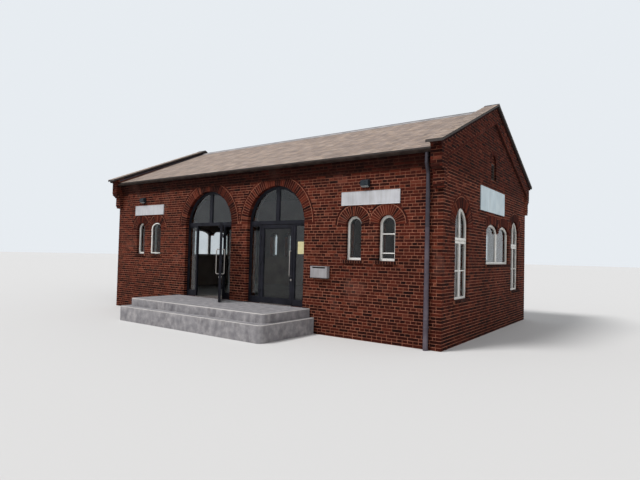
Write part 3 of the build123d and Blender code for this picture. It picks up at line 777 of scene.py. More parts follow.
def fan_points(hole, count):
    """Points along a head's edge, each with the direction its brick points to."""
    points = []
    for step in range(count):
        if hole.rise < hole.half:
            x = (2 * (step + 0.5) / count - 1) * hole.half * LOBE_SHARE
            rim = Vector((x, hole.rise * math.sqrt(1 - (x / hole.half) ** 2)))
            points.append((rim, (rim + Vector((0, LOBE_CENTRE))).normalized()))
        else:
            angle = math.pi * (step + 0.5) / count
            aim = Vector((math.cos(angle), math.sin(angle)))
            points.append((aim * hole.half, aim))
    return points


def fan_spots(hole, fan, wall_out, ring=BRICK_LONG, cut_left=None, cut_right=None):
    """A fan of bricks on end, cut where it meets the next one."""
    count, model = fan
    spots = []
    for rim, aim in fan_points(hole, count):
        length = ring + HOLE_LIP
        for limit, side in ((cut_left, -1), (cut_right, 1)):
            if limit is not None and side * aim.x > 0.01:
                room = (limit - hole.middle - rim.x) * side - UPRIGHT_JOINT / 2
                length = min(length, max(room / (side * aim.x), 0.0))
        if length >= SLIVER:
            at = rim + aim * (length / 2 - HOLE_LIP)
            spots.append(brick_spot(hole.middle + at.x, hole.springing + at.y, length, wall_out, RING_PROUD,
                                    hole.recess - BACK_GAP, -math.atan2(aim.y, aim.x), model=model))
    return spots


def arch_spots(hole, fan, wall_out, cut_left=None, cut_right=None):
    """A round arch: its fan, and the thin row of flat bricks around it."""
    spots = fan_spots(hole, fan, wall_out, cut_left=cut_left, cut_right=cut_right)
    radius = hole.half + BRICK_LONG + RING_GAP + BRICK_HIGH / 2
    count = round(math.pi * radius / FLAT_LONG)
    low, high = 0.0, math.pi
    if cut_right is not None:
        low = math.acos(min((cut_right - hole.middle) / radius, 1)) + CUT_TURN
    if cut_left is not None:
        high = math.acos(max((cut_left - hole.middle) / radius, -1)) - CUT_TURN
    for step in range(count):
        start, stop = max(step * math.pi / count, low), min((step + 1) * math.pi / count, high)
        length = (stop - start) * radius
        if length >= SHORTEST_FLAT:
            angle = (start + stop) / 2
            x, z = hole.middle + radius * math.cos(angle), hole.springing + radius * math.sin(angle)
            spots.append(brick_spot(x, z, length - FLAT_JOINT, wall_out, RING_PROUD,
                                    spin=math.pi / 2 - angle, high=FLAT_HIGH))
    return spots


def pair_spots(head_spots, pair, fan, wall_out, meeting):
    """Two heads side by side, each cut at the line where they meet."""
    left = head_spots(pair[0], fan, wall_out, cut_right=meeting)
    return left + head_spots(pair[1], fan, wall_out, cut_left=meeting)


print("bricks in a small window's arch:", len(fan_points(small_windows[0], small_fan[0])))

# %% [markdown]
# ## Front and back wall
#
# At each corner the courses take turns: in one course the long wall's brick runs
# through to the corner, in the next the gable's does, and its end shows as a header.
# Above the foot of the corbelled kneelers the long walls stop at the parapet. Under
# each small window stands a row of bricks on edge, which throws the rain off the
# wall. The cornice steps out course by course until it carries the gutter.

# %% Sills of bricks on edge
SILL_ENDS, SILL_OUT, SILL_DEEP, SILL_PROUD = 0.056, 0.04, 0.043, 0.004
SILL_JOINT_LONG, SILL_JOINT = 0.003, 0.008
SILL_TONES = (0.0, 0.35)


def sill_spots(middle, half, foot, wall_out):
    """Bricks on edge under a window, over the CAD sill."""
    spots = []
    low, high = middle - half - SILL_ENDS, middle + half + SILL_ENDS
    count = round((high - low) / COURSE)
    pitch = (high - low) / count
    for step in range(count):
        along = low + (step + 0.5) * pitch
        tone = luck.uniform(*SILL_TONES)
        spots.append(brick_spot(along, foot - COURSE / 2, COURSE - SILL_JOINT_LONG, wall_out + SILL_OUT,
                                SILL_PROUD, SILL_DEEP, math.pi / 2, pitch - SILL_JOINT, tone))
    return spots


print("sill tools ready")

# %% Lay the long walls
COURSES_TO_CORNICE = round(cornice_foot / COURSE)
CORNICE_STEPS = (0.025, 0.05, 0.075, 0.1, 0.1)
CORNICE_PROUD, CORNICE_DEEP, CORNICE_SHADE = 0.002, 0.09, 0.55
KEY_MIDDLE, KEY_LONG, KEY_DEEP, KEY_PROUD = 2.705, 0.085, 0.07, 0.006


def run_through(number, half, parity):
    """Half length of a course, and the depth of its corner bricks if they run through."""
    if number % 2 == parity:
        return half + PROUD, BRICK_WIDE
    return half + PROUD - BRICK_WIDE - UPRIGHT_JOINT, None


def cornice_spots():
    """The stepped courses of a cornice, darkened as painted shade under the eaves."""
    spots = []
    ends = whole(-parapet_x + EDGE_LAP, parapet_x - EDGE_LAP)
    for step, reach in enumerate(CORNICE_STEPS):
        spots += course_spots(COURSES_TO_CORNICE + step, ends, wall_half_depth + reach,
                              proud=CORNICE_PROUD, inside=CORNICE_DEEP)
    # Painted shade: the cornice bricks get darker tones, as the shade under the eaves.
    for spot in spots:
        spot.tone *= CORNICE_SHADE
    return spots


def long_wall(name, yaw, holes):
    """All the bricks of the front or back wall, with its fans, sills and cornice."""
    spots = []
    for number in range(COURSES_TO_CORNICE):
        z = (number + 0.5) * COURSE
        half, corner = run_through(number, wall_half_length, 0)
        if z > kneeler_foot:
            half, corner = parapet_x - UPRIGHT_JOINT / 2, None
        spots += course_spots(number, free_stretches(-half, half, holes, z, corner), wall_half_depth)
    spots += cornice_spots()
    for pair in (small_windows[:2], small_windows[2:]):
        pair = sorted(pair, key=lambda hole: hole.middle)
        meeting = (pair[0].middle + pair[1].middle) / 2
        spots += pair_spots(arch_spots, pair, small_fan, wall_half_depth, meeting)
        for hole in pair:
            spots += sill_spots(hole.middle, hole.half, hole.foot, wall_half_depth)
        spots.append(brick_spot(meeting, KEY_MIDDLE, KEY_LONG, wall_half_depth, KEY_PROUD, KEY_DEEP,
                                -math.pi / 2, model=key_brick))
    if yaw == FRONT:
        spots += pair_spots(arch_spots, portals, portal_fan, wall_half_depth, 0.0)
    lay_bricks(name, [(yaw, spots)])


long_wall("front_bricks", FRONT, portals + small_windows)
long_wall("back_bricks", BACK, small_windows)

# %% [markdown]
# ## Gables
#
# Below the kneelers a gable is plain walling. Above them it has two planes: a field
# that lies back, and a band one step out that follows the coping and ends in the
# kneelers. A light row of bricks runs up the band's inner edge, and a darker row
# sits close under the coping. The kneelers are corbelled brick too, wrapped on three
# sides, and the inner face of the parapet shows one raking row above the slates,
# painted near black as the shade on that face.

# %% The profile of a kneeler and the raking rows
KNEELER_COVES = ((3.31, 0.11, 0.0, 3.56), (3.70, 0.14, 0.11, 3.96))
HEAD_FOOT, HEAD_HIGH, HEAD_OUT, HEAD_FLARE, HEAD_CURVE = 3.96, 0.24, 0.25, 0.1, 1.6
RAKE_ROW = COURSE / math.cos(RAKE_ANGLE)


def kneeler_reach(z):
    """How far a kneeler stands out of the long wall at a height: two coves and a flared head."""
    if z < kneeler_foot:
        return 0.0
    for springing, radius, start, top in KNEELER_COVES:
        if z < top:
            return start + math.sqrt(radius**2 - max(springing - z, 0) ** 2)
    return HEAD_OUT + HEAD_FLARE * max((z - HEAD_FOOT) / HEAD_HIGH, 0) ** HEAD_CURVE


def raking_row(peak, proud, tones, reach, wall_out, high=BRICK_HIGH):
    """A row of bricks that runs up one side of the gable and down the other."""
    spots = []
    count = round(reach / math.cos(RAKE_ANGLE) / (BRICK_LONG + UPRIGHT_JOINT))
    pitch = reach / count
    length = pitch / math.cos(RAKE_ANGLE) - UPRIGHT_JOINT
    for side in (-1, 1):
        for step in range(count):
            along = (step + 0.5) * pitch
            spots.append(brick_spot(side * along, peak - along * rake, length, wall_out, proud,
                                    spin=side * RAKE_ANGLE, high=high, tone=luck.uniform(*tones)))
    return spots


print("a kneeler's head stands out", round(kneeler_reach(4.2), 3))

# %% The level courses of a gable
NICHE_PROUD, NICHE_DEEP = 0.003, 0.04


def gable_courses(holes):
    """The courses of the field and, above the kneelers' foot, of the band around it."""
    spots = []
    for number in range(int(gable_peak / COURSE)):
        z = (number + 0.5) * COURSE
        half, corner = run_through(number, wall_half_depth, 1)
        if z > kneeler_foot:
            half, corner = min(band_leg, (band_peak - z) / rake), None
            outer = min((gable_peak - RAKE_ROW - z) / rake, wall_half_depth + kneeler_reach(z) + EDGE_LAP)
            inner = min(max((band_peak + RAKE_ROW - z) / rake, 0.0), band_leg)
            if outer > inner + SLIVER:
                band = whole(-outer, -inner) + whole(inner, outer) if inner else whole(-outer, outer)
                spots += course_spots(number, band, band_x, 1)
        if half > SLIVER:
            spots += course_spots(number, free_stretches(-half, half, holes, z, corner), wall_half_length, 1)
    return spots


def vent_back(vent):
    """Bricks at the back of the niche, in the round head over the louvres."""
    spots = []
    back = wall_half_length - vent.recess
    first, last = math.floor(vent.springing / COURSE), math.ceil((vent.springing + vent.half) / COURSE)
    for number in range(first, last):
        up = (number + 0.5) * COURSE - vent.springing
        half = math.sqrt(max(vent.half**2 - max(up + BRICK_HIGH / 2, 0) ** 2, 0)) - EDGE_LAP
        if up > 0 and half > SLIVER:
            spots += course_spots(number, whole(-half, half), back, 1, NICHE_PROUD, NICHE_DEEP)
    return spots


print("gable tools ready")

# %% The face of a gable
INNER_ROW_TONES, INNER_ROW_PROUD = (0.5, 0.85), 0.007
OUTER_ROW_TONES, OUTER_ROW_PROUD, OUTER_ROW_REACH = (0.05, 0.4), 0.022, 3.69
LOBE_KEY_UP, LOBE_KEY_LONG, LOBE_KEY_DEEP, LOBE_KEY_WIDE = 0.075, 0.11, 0.045, 0.034


def gable_face(side):
    """Bricks of the field, the band, the raking rows and the arches of one gable."""
    tall, lobes, vent = gable_holes(side)
    spots = gable_courses(tall + lobes + [vent])
    spots += raking_row(band_peak + RAKE_ROW / 2, INNER_ROW_PROUD, INNER_ROW_TONES, band_leg, band_x)
    spots += raking_row(gable_peak - RAKE_ROW / 2, OUTER_ROW_PROUD, OUTER_ROW_TONES, OUTER_ROW_REACH, band_x)
    for hole in tall:
        spots += arch_spots(hole, tall_fan, wall_half_length)
        spots += sill_spots(hole.middle, hole.half, hole.foot, wall_half_length)
    meeting = side * DOUBLE_MIDDLE
    spots += pair_spots(fan_spots, lobes, lobe_fan, wall_half_length, meeting)
    spots.append(brick_spot(meeting, DOUBLE_SPRINGING + LOBE_KEY_UP, LOBE_KEY_LONG, wall_half_length,
                            KEY_PROUD, LOBE_KEY_DEEP, -math.pi / 2, LOBE_KEY_WIDE))
    spots += sill_spots(meeting, 2 * LOBE_HALF, DOUBLE_SILL, wall_half_length)
    spots += fan_spots(vent, vent_fan, wall_half_length, ring=BRICK_WIDE)
    return spots + vent_back(vent)


print("gable face ready")

# %% Kneelers and the inner face of the parapet, then lay both gables
KNEELER_TOP, CHEEK_TOP = 4.19, 4.12
KNEELER_DEEP = 0.1
CORNICE_CLEAR, CORNICE_CLEAR_FROM = 0.13, 3.85
INSIDE_ROW_DOWN, INSIDE_ROW_HIGH, INSIDE_ROW_REACH = 0.031, 0.05, 3.35
# Painted shade: the inner raking row's tones are near black, as the shade on the parapet's inner face.
INSIDE_ROW_SHADE_TONES, INSIDE_ROW_PROUD = (0.0, 0.25), 0.004
GABLES = (
    ("right_gable_bricks", 1, RIGHT, LEFT),
    ("left_gable_bricks", -1, LEFT, RIGHT),
)


def kneeler_fronts(side):
    """Courses on the front of one kneeler, seen from the front."""
    spots = []
    low, high = sorted((side * (parapet_x - EDGE_LAP), side * (band_x + EDGE_LAP)))
    for number in range(round(kneeler_foot / COURSE), int(KNEELER_TOP / COURSE)):
        reach = kneeler_reach((number + 0.5) * COURSE)
        spots += course_spots(number, whole(low, high), wall_half_depth + reach, inside=KNEELER_DEEP)
    return spots


def inner_face():
    """The parapet's inner face: a raking row, and the inner cheeks of both kneelers."""
    spots = raking_row(gable_peak - INSIDE_ROW_DOWN, INSIDE_ROW_PROUD, INSIDE_ROW_SHADE_TONES, INSIDE_ROW_REACH,
                       -parapet_x, INSIDE_ROW_HIGH)
    for number in range(round(kneeler_foot / COURSE), int(CHEEK_TOP / COURSE)):
        z = (number + 0.5) * COURSE
        near = wall_half_depth + (CORNICE_CLEAR if z > CORNICE_CLEAR_FROM else EDGE_LAP)
        far = wall_half_depth + kneeler_reach(z) + EDGE_LAP
        for end in (-1, 1):
            low, high = sorted((end * near, end * far))
            if high - low > SLIVER:
                spots += course_spots(number, whole(low, high), -parapet_x)
    return spots


for name, side, outward, inward in GABLES:
    lay_bricks(name, [(outward, gable_face(side)), (inward, inner_face()),
                      (FRONT, kneeler_fronts(side)), (BACK, kneeler_fronts(-side))])

# %% [markdown]
# ## Mortar, plaster and painted shade
#
# The imported walls are solid, and outside they show only in the joints, so there they
# carry the mortar. Inside they are plastered, and one material can do both, because
# it knows from a point's place which side it is on. The plaster is a dim tan, its own
# colour with painted shade for the dim room. Their level faces are the ledges and soffits
# of corbels and sills, painted near black as the shade in them. The cornices have a
# mortar of their own, painted near black as the shade under the eaves.

# %% Mortar and plaster on the solid walls
SKIN = 0.004
LEVEL_FROM = 0.2

wall = Finish("mortar_and_plaster", 0.9, specular=0.08)
place = wall.place()
within = [wall.reckon("LESS_THAN", wall.reckon("ABSOLUTE", wall.axis(place, axis)), limit + SKIN)
          for axis, limit in ((X, room_half_length), (Y, room_half_depth))]
# Painted shade: level faces, the ledges and soffits of corbels and sills, are near black.
level = wall.reckon("GREATER_THAN", wall.reckon("ABSOLUTE", wall.facing(Z)), LEVEL_FROM)
painted_ledge_shade = wall.stain((9, 5), (0.35, (0.022, 0.008, 0.007)), (0.65, (0.060, 0.018, 0.012)))
# The plaster is a dim tan: its own colour, with painted shade for the dim room.
plaster_and_room_shade = wall.stain((1.6, 5), (0.3, (0.24, 0.19, 0.16)), (0.7, (0.33, 0.27, 0.23)))
outside = wall.blend("MIX", level, mortar_tint(wall), painted_ledge_shade)
wall.color(wall.blend("MIX", wall.reckon("MULTIPLY", *within), outside, plaster_and_room_shade))
wall.bump((30, 3), 0.0006, 0.15)
dress([name for name in nodes if "wall" in name or "kneeler" in name], wall.material)

# Painted shade: the cornices' mortar is near black, as the shade under the eaves.
sooty_mortar = wandering("sooty_mortar", 0.9, (9, 6), (0.020, 0.007, 0.005), (0.062, 0.022, 0.014),
                         ((30, 3), 0.0006, 0.3), specular=0.08)
dress(["front_cornice", "back_cornice"], sooty_mortar)
print("solid walls dressed")

# %% [markdown]
# ## Slates
#
# The roof is slated in rows 166 mm apart, and each row is shifted by half a
# slate. One slate is a thin plate whose tail has a worn edge. Every slate lies with
# its head on the roof and its tail on the row below, so it is laid a little flatter
# than the roof itself. Their tone wanders from warm grey to tan, with lichen.

# %% Slate material and model
stone = Finish("weathered_slate", 0.72)
split_stone = stone.ramp(
    stone.tone(),
    (0.0, (0.175, 0.132, 0.112)),
    (0.5, (0.250, 0.192, 0.162)),
    (1.0, (0.325, 0.255, 0.212)),
)
lichen = stone.stain((7, 8), (0.45, WHITE), (0.7, (1.22, 1.15, 1.0)))
rain = stone.stain((1.3, 5, (6, 1, 1)), (0.35, (0.74, 0.73, 0.72)), (0.65, (1.05, 1.04, 1.02)))
stone.color(stone.shade(split_stone, (0.8, lichen), (0.85, rain)))
stone.bump((45, 8, (1, 3, 1)), 0.002, 0.7)

SLATE_WIDE, SLATE_LONG, SLATE_THICK, SLATE_WEAR = 0.25, 0.19, 0.006, 0.002
slate = cube("slate", (-SLATE_WIDE / 2, 0, 0), (SLATE_WIDE / 2, SLATE_LONG, SLATE_THICK))
tail, upper_face = at_most(Y, 0), at_least(Z, SLATE_THICK)
bevel_where(slate, lambda corners: tail(corners) and upper_face(corners), SLATE_WEAR)
patterns.append(coat(slate, stone.material))
print("slate:", [round(value, 3) for value in slate.dimensions])

# %% Slate the slopes
ROOF_PITCH = math.radians(24.6)
SLATE_TILT = math.atan(SLATE_THICK / SLATE_LONG)
SLATE_GAP, NARROWEST_SLATE = 0.004, 0.03
SLATE_SLIP, SLATE_SWELL, SLATE_LIFT = (-0.001, 0.001), (0.85, 1.1), (-0.002, 0.004)
EAVE_START, RIDGE_STOP = 0.002, 0.02
ROWS = 23
LONG_WALLS = (("front", FRONT), ("back", BACK))


def slate_rows(low, high, foot_y, foot_z, pitch, reach, wide):
    """Spots of slates between two sides, from a foot line up a slope."""
    spots = []
    for row in range(ROWS):
        bond = wide / 2 if row % 2 else 0
        up = row * reach / ROWS + luck.uniform(*SLATE_SLIP)
        y = foot_y + up * math.cos(pitch) - SLATE_THICK * math.sin(pitch)
        z = foot_z + up * math.sin(pitch) + SLATE_THICK * math.cos(pitch)
        for step in range(math.floor((low - bond) / wide), math.ceil((high - bond) / wide) + 1):
            a, b = max(step * wide + bond, low), min((step + 1) * wide + bond, high)
            if b - a > NARROWEST_SLATE:
                size = ((b - a - SLATE_GAP) / SLATE_WIDE, 1, luck.uniform(*SLATE_SWELL))
                tilt = pitch - SLATE_TILT + luck.uniform(*SLATE_LIFT)
                spots.append(Spot(((a + b) / 2, y, z), 0, size, None, tilt))
    return spots


eave_y, ridge_z = -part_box("roof_front")[0].y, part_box("roof_front")[1].z
slope_long = eave_y / math.cos(ROOF_PITCH)
slope = slate_rows(-parapet_x + EDGE_LAP, parapet_x - EDGE_LAP, -eave_y + EAVE_START,
                   ridge_z - eave_y * math.tan(ROOF_PITCH), ROOF_PITCH, slope_long - RIDGE_STOP, SLATE_WIDE)
for wall_name, yaw in LONG_WALLS:
    shell_piece(lay(wall_name + "_slates", slate, slope, yaw))
print("slates on a slope:", len(slope), "rows apart:", round((slope_long - RIDGE_STOP) / ROWS, 3))

# %% [markdown]
# ## Copings
#
# The parapets carry the same slates on a dark boarded core. The CAD coping is one
# solid of the same outside size, so the dressed coping replaces it: a core 17 mm
# lower, slates on it, and a bent zinc cap over the peak. A zinc flashing closes the
# joint between the parapet and the roof. Core, cap and flashing are all one bar, cut
# off square at the peak and mirrored, so that their halves join without a seam.

# %% Dark boards and dull zinc
BOARD_GRAIN = (30, 6, (1, 0.15, 1))
dark_fascia = wandering("dark_fascia", 0.75, BOARD_GRAIN, (0.012, 0.008, 0.007), (0.036, 0.026, 0.022),
                        (BOARD_GRAIN, 0.001, 0.6))
dress(["roof_front", "roof_back"], dark_fascia)

NEW_ZINC_FROM, NEW_ZINC_FULL = 2.44, 2.42

zinc = Finish("dull_zinc", 0.5, metallic=0.25, specular=0.3)
patina = zinc.stain(
    (3.5, 7),
    (0.3, (0.030, 0.025, 0.033)),
    (0.55, (0.048, 0.041, 0.052)),
    (0.8, (0.080, 0.070, 0.084)),
)
newer = zinc.ramp(zinc.rise(NEW_ZINC_FULL, NEW_ZINC_FROM), (0.0, (1.9, 1.8, 1.75)), (1.0, WHITE))
streak = zinc.stain((14, 5, (1, 1, 0.06)), (0.35, (0.78, 0.77, 0.76)), (0.6, WHITE))
zinc.color(zinc.shade(patina, (1.0, newer), (0.8, streak)))
zinc.bump((25, 5), 0.0006, 0.5)
dull_zinc = zinc.material
print("boards and zinc ready")

# %% Copings
CORE_DROP, CORE_IN, CORE_SHORT, COPING_THICK = 0.017, 0.004, 0.002, 0.07
SLATES_IN, SLATES_UP, PEAK_STOP = 0.006, 0.001, 0.035
CAP_REACH, CAP_THICK, CAP_IN = 0.11, 0.012, 0.001
FLASHING_REACH, FLASHING_THICK, FLASHING_HIGH, FLASHING_UP = 3.49, 0.006, 0.05, 0.045


def rake_bar(name, low_x, high_x, reach, peak, thick):
    """A sloping bar from the front foot to the peak, mirrored to the back: closed and joined at the peak."""
    foot = peak - reach * rake
    half = cube(name, (low_x, -reach, foot - thick), (high_x, 0, foot))
    shift_where(half, "VERT", at_least(Y, 0), (0, 0, reach * rake))
    edit_where(half, "FACE", at_least(Y, 0))
    bpy.ops.mesh.delete(type="FACE")
    leave_edit()
    apply_modifier(half, "MIRROR", use_axis=(False, True, False), use_clip=True)
    return half


for name, side in (("right_coping", 1), ("left_coping", -1)):
    low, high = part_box(name)
    core = rake_bar(name + "_core", low.x + CORE_IN, high.x - CORE_IN, coping_reach - CORE_SHORT,
                    coping_peak - CORE_DROP, COPING_THICK - CORE_DROP)
    bevel_where(coat(core, dark_fascia), everywhere, 0.004)
    shell_piece(core, name)

    foot_z = coping_peak - coping_reach * rake - CORE_DROP + SLATES_UP
    slate_reach = coping_reach / math.cos(RAKE_ANGLE) - PEAK_STOP
    laid = []
    for yaw, left, right in ((FRONT, low.x, high.x), (BACK, -high.x, -low.x)):
        half_wide = (right - left) / 2 + 0.0001
        rows = slate_rows(left, right, -coping_reach + SLATES_IN, foot_z, RAKE_ANGLE, slate_reach, half_wide)
        laid.append(lay("rows", slate, rows, yaw))
    shell_piece(join(name + "_slates", laid))

    cap = rake_bar(name + "_peak", low.x + CAP_IN, high.x - CAP_IN, CAP_REACH, coping_peak, CAP_THICK)
    shell_piece(bevel_where(coat(cap, dull_zinc), everywhere, 0.003, 2))
    near, far = sorted((side * parapet_x, side * (parapet_x - FLASHING_THICK)))
    flashing = rake_bar(name + "_flashing", near, far, FLASHING_REACH, ridge_z + FLASHING_UP, FLASHING_HIGH)
    shell_piece(coat(flashing, dull_zinc))
print("copings reach", round(coping_reach, 3))

# %% [markdown]
# ## Ridge, gutters and downpipes
#
# The ridge is bent zinc in lengths of two metres: a dark roll over pale flanks, with
# a lap at each joint. A lap is a narrow plane, extruded edge by edge over the ridge's
# outline and thickened. The gutters have turned nearly black, and a strap holds them
# every 72 cm: a short bar, spun half round the gutter. A downpipe is one circle drawn
# down in edit mode: straight out of the gutter, back to the wall through two bends,
# and into a wider foot pipe. Collars mark its joints, and clips hold it to the wall.

# %% Ridge
LAP_WIDE, LAP_THICK = 0.035, 0.003
RIDGE_OUTLINE = ((-0.15, 5.5631), (-0.03, 5.6497), (0, 5.6617), (0.03, 5.6497), (0.15, 5.5631))
RIDGE_ZERO = 5.5

ridge = Finish("ridge_zinc", 0.5, metallic=0.4)
stained = ridge.stain((4, 6), (0.3, (0.20, 0.185, 0.185)), (0.7, (0.36, 0.335, 0.33)))
# The roll is dark zinc; the dark band at the foot of the flanks is painted shade, the shadow line over the
# slates.
dark_roll_and_foot_shade = ridge.ramp(
    ridge.reckon("SUBTRACT", ridge.height(), RIDGE_ZERO),
    (0.066, (0.10, 0.10, 0.11)),
    (0.072, WHITE),
    (0.132, WHITE),
    (0.138, (0.12, 0.12, 0.13)),
)
ridge.color(ridge.shade(stained, (1.0, dark_roll_and_foot_shade)))
ridge.bump((20, 5), 0.0008, 0.5)
dress(["ridge_cap"], ridge.material)

(first_y, first_z), (next_y, next_z) = RIDGE_OUTLINE[:2]
lap = started("lap", bpy.ops.mesh.primitive_plane_add, (LAP_WIDE, next_y - first_y, 1), size=1,
              location=(0, (first_y + next_y) / 2, first_z))
edit_where(lap, "EDGE", at_least(Y, next_y))
bpy.ops.transform.translate(value=(0, 0, next_z - first_z))
for (y, z), (to_y, to_z) in zip(RIDGE_OUTLINE[1:], RIDGE_OUTLINE[2:]):
    draw_out(0, to_y - y, to_z - z)
face_outward()
up = 1 if lap.data.polygons[0].normal.z > 0 else -1
apply_modifier(lap, "SOLIDIFY", thickness=LAP_THICK, offset=up)
coat(lap, ridge.material)
laps = join("ridge_laps", [copied(lap, "lap", shift(x)) for x in (-4, -2, 0, 2, 4)])
discard(lap)
shell_piece(laps)
print("ridge laps:", [round(value, 3) for value in laps.dimensions])

# %% Gutters and their straps
GUTTER_RADIUS, GUTTER_Y, GUTTER_TOP = 0.062, -3.512, 3.978
STRAP_HALF, STRAP_THICK, STRAP_END = 0.012, 0.0035, 0.002
FIRST_STRAP, STRAP_PITCH, STRAPS = -5.04, 0.72, 15

old_gutter = wandering("old_gutter", 0.7, (5, 7, (1, 1, 3)), (0.013, 0.008, 0.007), (0.042, 0.029, 0.024),
                       ((30, 5), 0.0008, 0.5), specular=0.08)
dress(["front_gutter", "back_gutter"], old_gutter)

rim = GUTTER_Y - GUTTER_RADIUS
strap = cube("strap", (-STRAP_HALF, rim - 0.0001, GUTTER_TOP - STRAP_END),
             (STRAP_HALF, rim + STRAP_THICK, GUTTER_TOP))
edit_where(strap, "FACE", at_most(Z, GUTTER_TOP - STRAP_END))
bpy.ops.mesh.spin(steps=14, angle=-math.pi, center=(0, GUTTER_Y, GUTTER_TOP - STRAP_END), axis=(1, 0, 0))
face_outward()
coat(strap, old_gutter)
places = [shift(FIRST_STRAP + step * STRAP_PITCH) for step in range(STRAPS)]
for wall_name, yaw in LONG_WALLS:
    row = [copied(strap, "strap", swing(yaw) @ place) for place in places]
    shell_piece(join(wall_name + "_gutter_brackets", row))
discard(strap)
print("straps under each gutter:", STRAPS)

# %% Downpipes
PIPE_RADIUS, FOOT_RADIUS, FOOT_TOP, BEND = 0.04, 0.0515, 0.6, 0.06
PIPE_OFF_WALL = 0.07
NECK_TOP, NECK_FOOT = 3.7, 3.52

low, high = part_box("front_downpipe")
pipe_x, outlet_y, pipe_y = (low.x + high.x) / 2, low.y + PIPE_RADIUS, -wall_half_depth - PIPE_OFF_WALL
lean = math.atan2(pipe_y - outlet_y, NECK_TOP - NECK_FOOT)
lead = BEND * math.tan(lean / 2)
down = Vector((0, math.sin(lean), -math.cos(lean)))
slant = math.hypot(pipe_y - outlet_y, NECK_TOP - NECK_FOOT) - 2 * lead
elbow = Vector((0, pipe_y, NECK_FOOT)) - down * lead - Vector((0, math.cos(lean), math.sin(lean))) * BEND

pipe = started("pipe", bpy.ops.mesh.primitive_circle_add, vertices=28, radius=PIPE_RADIUS, fill_type="NGON",
               location=(0, outlet_y, high.z))
edit_where(pipe, "FACE")
draw_out(0, 0, NECK_TOP + lead - high.z)
bpy.ops.mesh.spin(steps=5, angle=-lean, center=(0, outlet_y + BEND, NECK_TOP + lead), axis=(1, 0, 0))
draw_out(*(down * slant))
bpy.ops.mesh.spin(steps=5, angle=lean, center=elbow, axis=(1, 0, 0))
draw_out(0, 0, FOOT_TOP - (NECK_FOOT - lead))
bpy.ops.transform.resize(value=(FOOT_RADIUS / PIPE_RADIUS,) * 2 + (1,), center_override=(0, pipe_y, FOOT_TOP))
draw_out(0, 0, -FOOT_TOP)
face_outward()
bevel_where(pipe, lambda corners: all(abs(corner.z - FOOT_TOP) < 1e-4 for corner in corners), 0.006, 3)
shade_smooth(coat(pipe, dull_zinc), 40)
for wall_name, yaw in LONG_WALLS:
    run = copied(pipe, wall_name + "_pipe_run", swing(yaw) @ shift(pipe_x))
    shell_piece(run, wall_name + "_downpipe")
discard(pipe)
print("pipe foot at z", round(min(vertex.co.z for vertex in run.data.vertices), 4))

# %% Collars and clips on the downpipes
COLLARS = ((0.6, FOOT_RADIUS, 0.004, 0.035), (2.43, 0.0397, 0.005, 0.05))
CLIPS = ((0.45, FOOT_RADIUS, 0.003, 0.02), (1.5, 0.0397, 0.003, 0.025), (2.95, 0.0397, 0.003, 0.025))


def swelled_post(name, at, radius, high, sides, rim, rise):
    """An upright cylinder whose ends swell a little: a collar, or the knuckle of a hinge."""
    post = started(name, bpy.ops.mesh.primitive_cylinder_add, vertices=sides, radius=radius, depth=high,
                   location=at)
    edit_where(post, "FACE", lambda corners: len(corners) > 4)
    bpy.ops.mesh.inset(thickness=rim)
    bpy.ops.transform.resize(value=(1, 1, 1 + rise / high), center_override=at)
    leave_edit()
    return post


def worn_box(name, low, high, wear=0.002, steps=2):
    """A small box or bar with softened edges."""
    return bevel_where(cube(name, low, high), everywhere, wear, steps)


pieces = [swelled_post("collar", (pipe_x, pipe_y, z), radius + metal, tall, 24, metal * 0.6, 2 * metal)
          for z, radius, metal, tall in COLLARS + CLIPS]
for z, radius, metal, tall in CLIPS:
    pieces.append(worn_box("stem", (pipe_x - 0.009, pipe_y + radius - 0.004, z - 0.008),
                           (pipe_x + 0.009, -wall_half_depth + 0.01, z + 0.008), 0.002, 1))
    pieces.append(worn_box("ear", (pipe_x + radius, pipe_y - 0.004, z - 0.01),
                           (pipe_x + radius + 0.018, pipe_y + 0.004, z + 0.01), 0.0015, 1))
front_fittings = coat(join("front_pipe_fittings", pieces), dull_zinc)
back_fittings = copied(front_fittings, "back_pipe_fittings", swing(BACK))
for fittings in (front_fittings, back_fittings):
    shell_piece(fittings)
print("pipe fittings:", [round(value, 3) for value in front_fittings.dimensions])

# %% [markdown]
# ## Window frames
#
# Every head is round, so every frame starts as a filled disc. Half of it is cut away
# with bisect, the straight edge is drawn down to the sill, and the flat face is inset
# and drawn back to make a frame. The inner front edge gets a slope, which is the
# putty line. A pane stays the CAD one, and all frames are modelled once and copied.

# %% Paint, putty and functions for frames
white = Finish("chalky_paint", 0.42)
chalky = white.stain((5, 6), (0.3, (0.66, 0.64, 0.60)), (0.7, (0.78, 0.77, 0.74)))
grime = white.stain((30, 5, (1, 1, 0.2)), (0.3, (0.72, 0.68, 0.62)), (0.55, WHITE))
white.color(white.shade(chalky, (0.55, grime)))
white.bump((90, 4, (1, 1, 0.15)), 0.0005, 0.6)
chalky_paint = white.material

FRAME_DEEP = 0.06
FACING_FRONT = (math.pi / 2, 0, 0)


def disc_face(name, radius, sides, at=(0, 0, 0)):
    """A filled circle that faces the front."""
    return started(name, bpy.ops.mesh.primitive_circle_add, vertices=sides, radius=radius, fill_type="NGON",
                   location=at, rotation=FACING_FRONT)


def frame_from_face(sheet, face, deep, putty):
    """Turns a flat upright face into a frame: inset, opened, drawn back, its front edges sloped."""
    edit_where(sheet, "FACE")
    bpy.ops.mesh.inset(thickness=face)
    bpy.ops.mesh.delete(type="FACE")
    bpy.ops.mesh.select_all(action="SELECT")
    draw_out(0, deep, 0)
    face_outward()
    front = min(vertex.co.y for vertex in sheet.data.vertices)
    return bevel_where(sheet, at_most(Y, front), putty, 2)


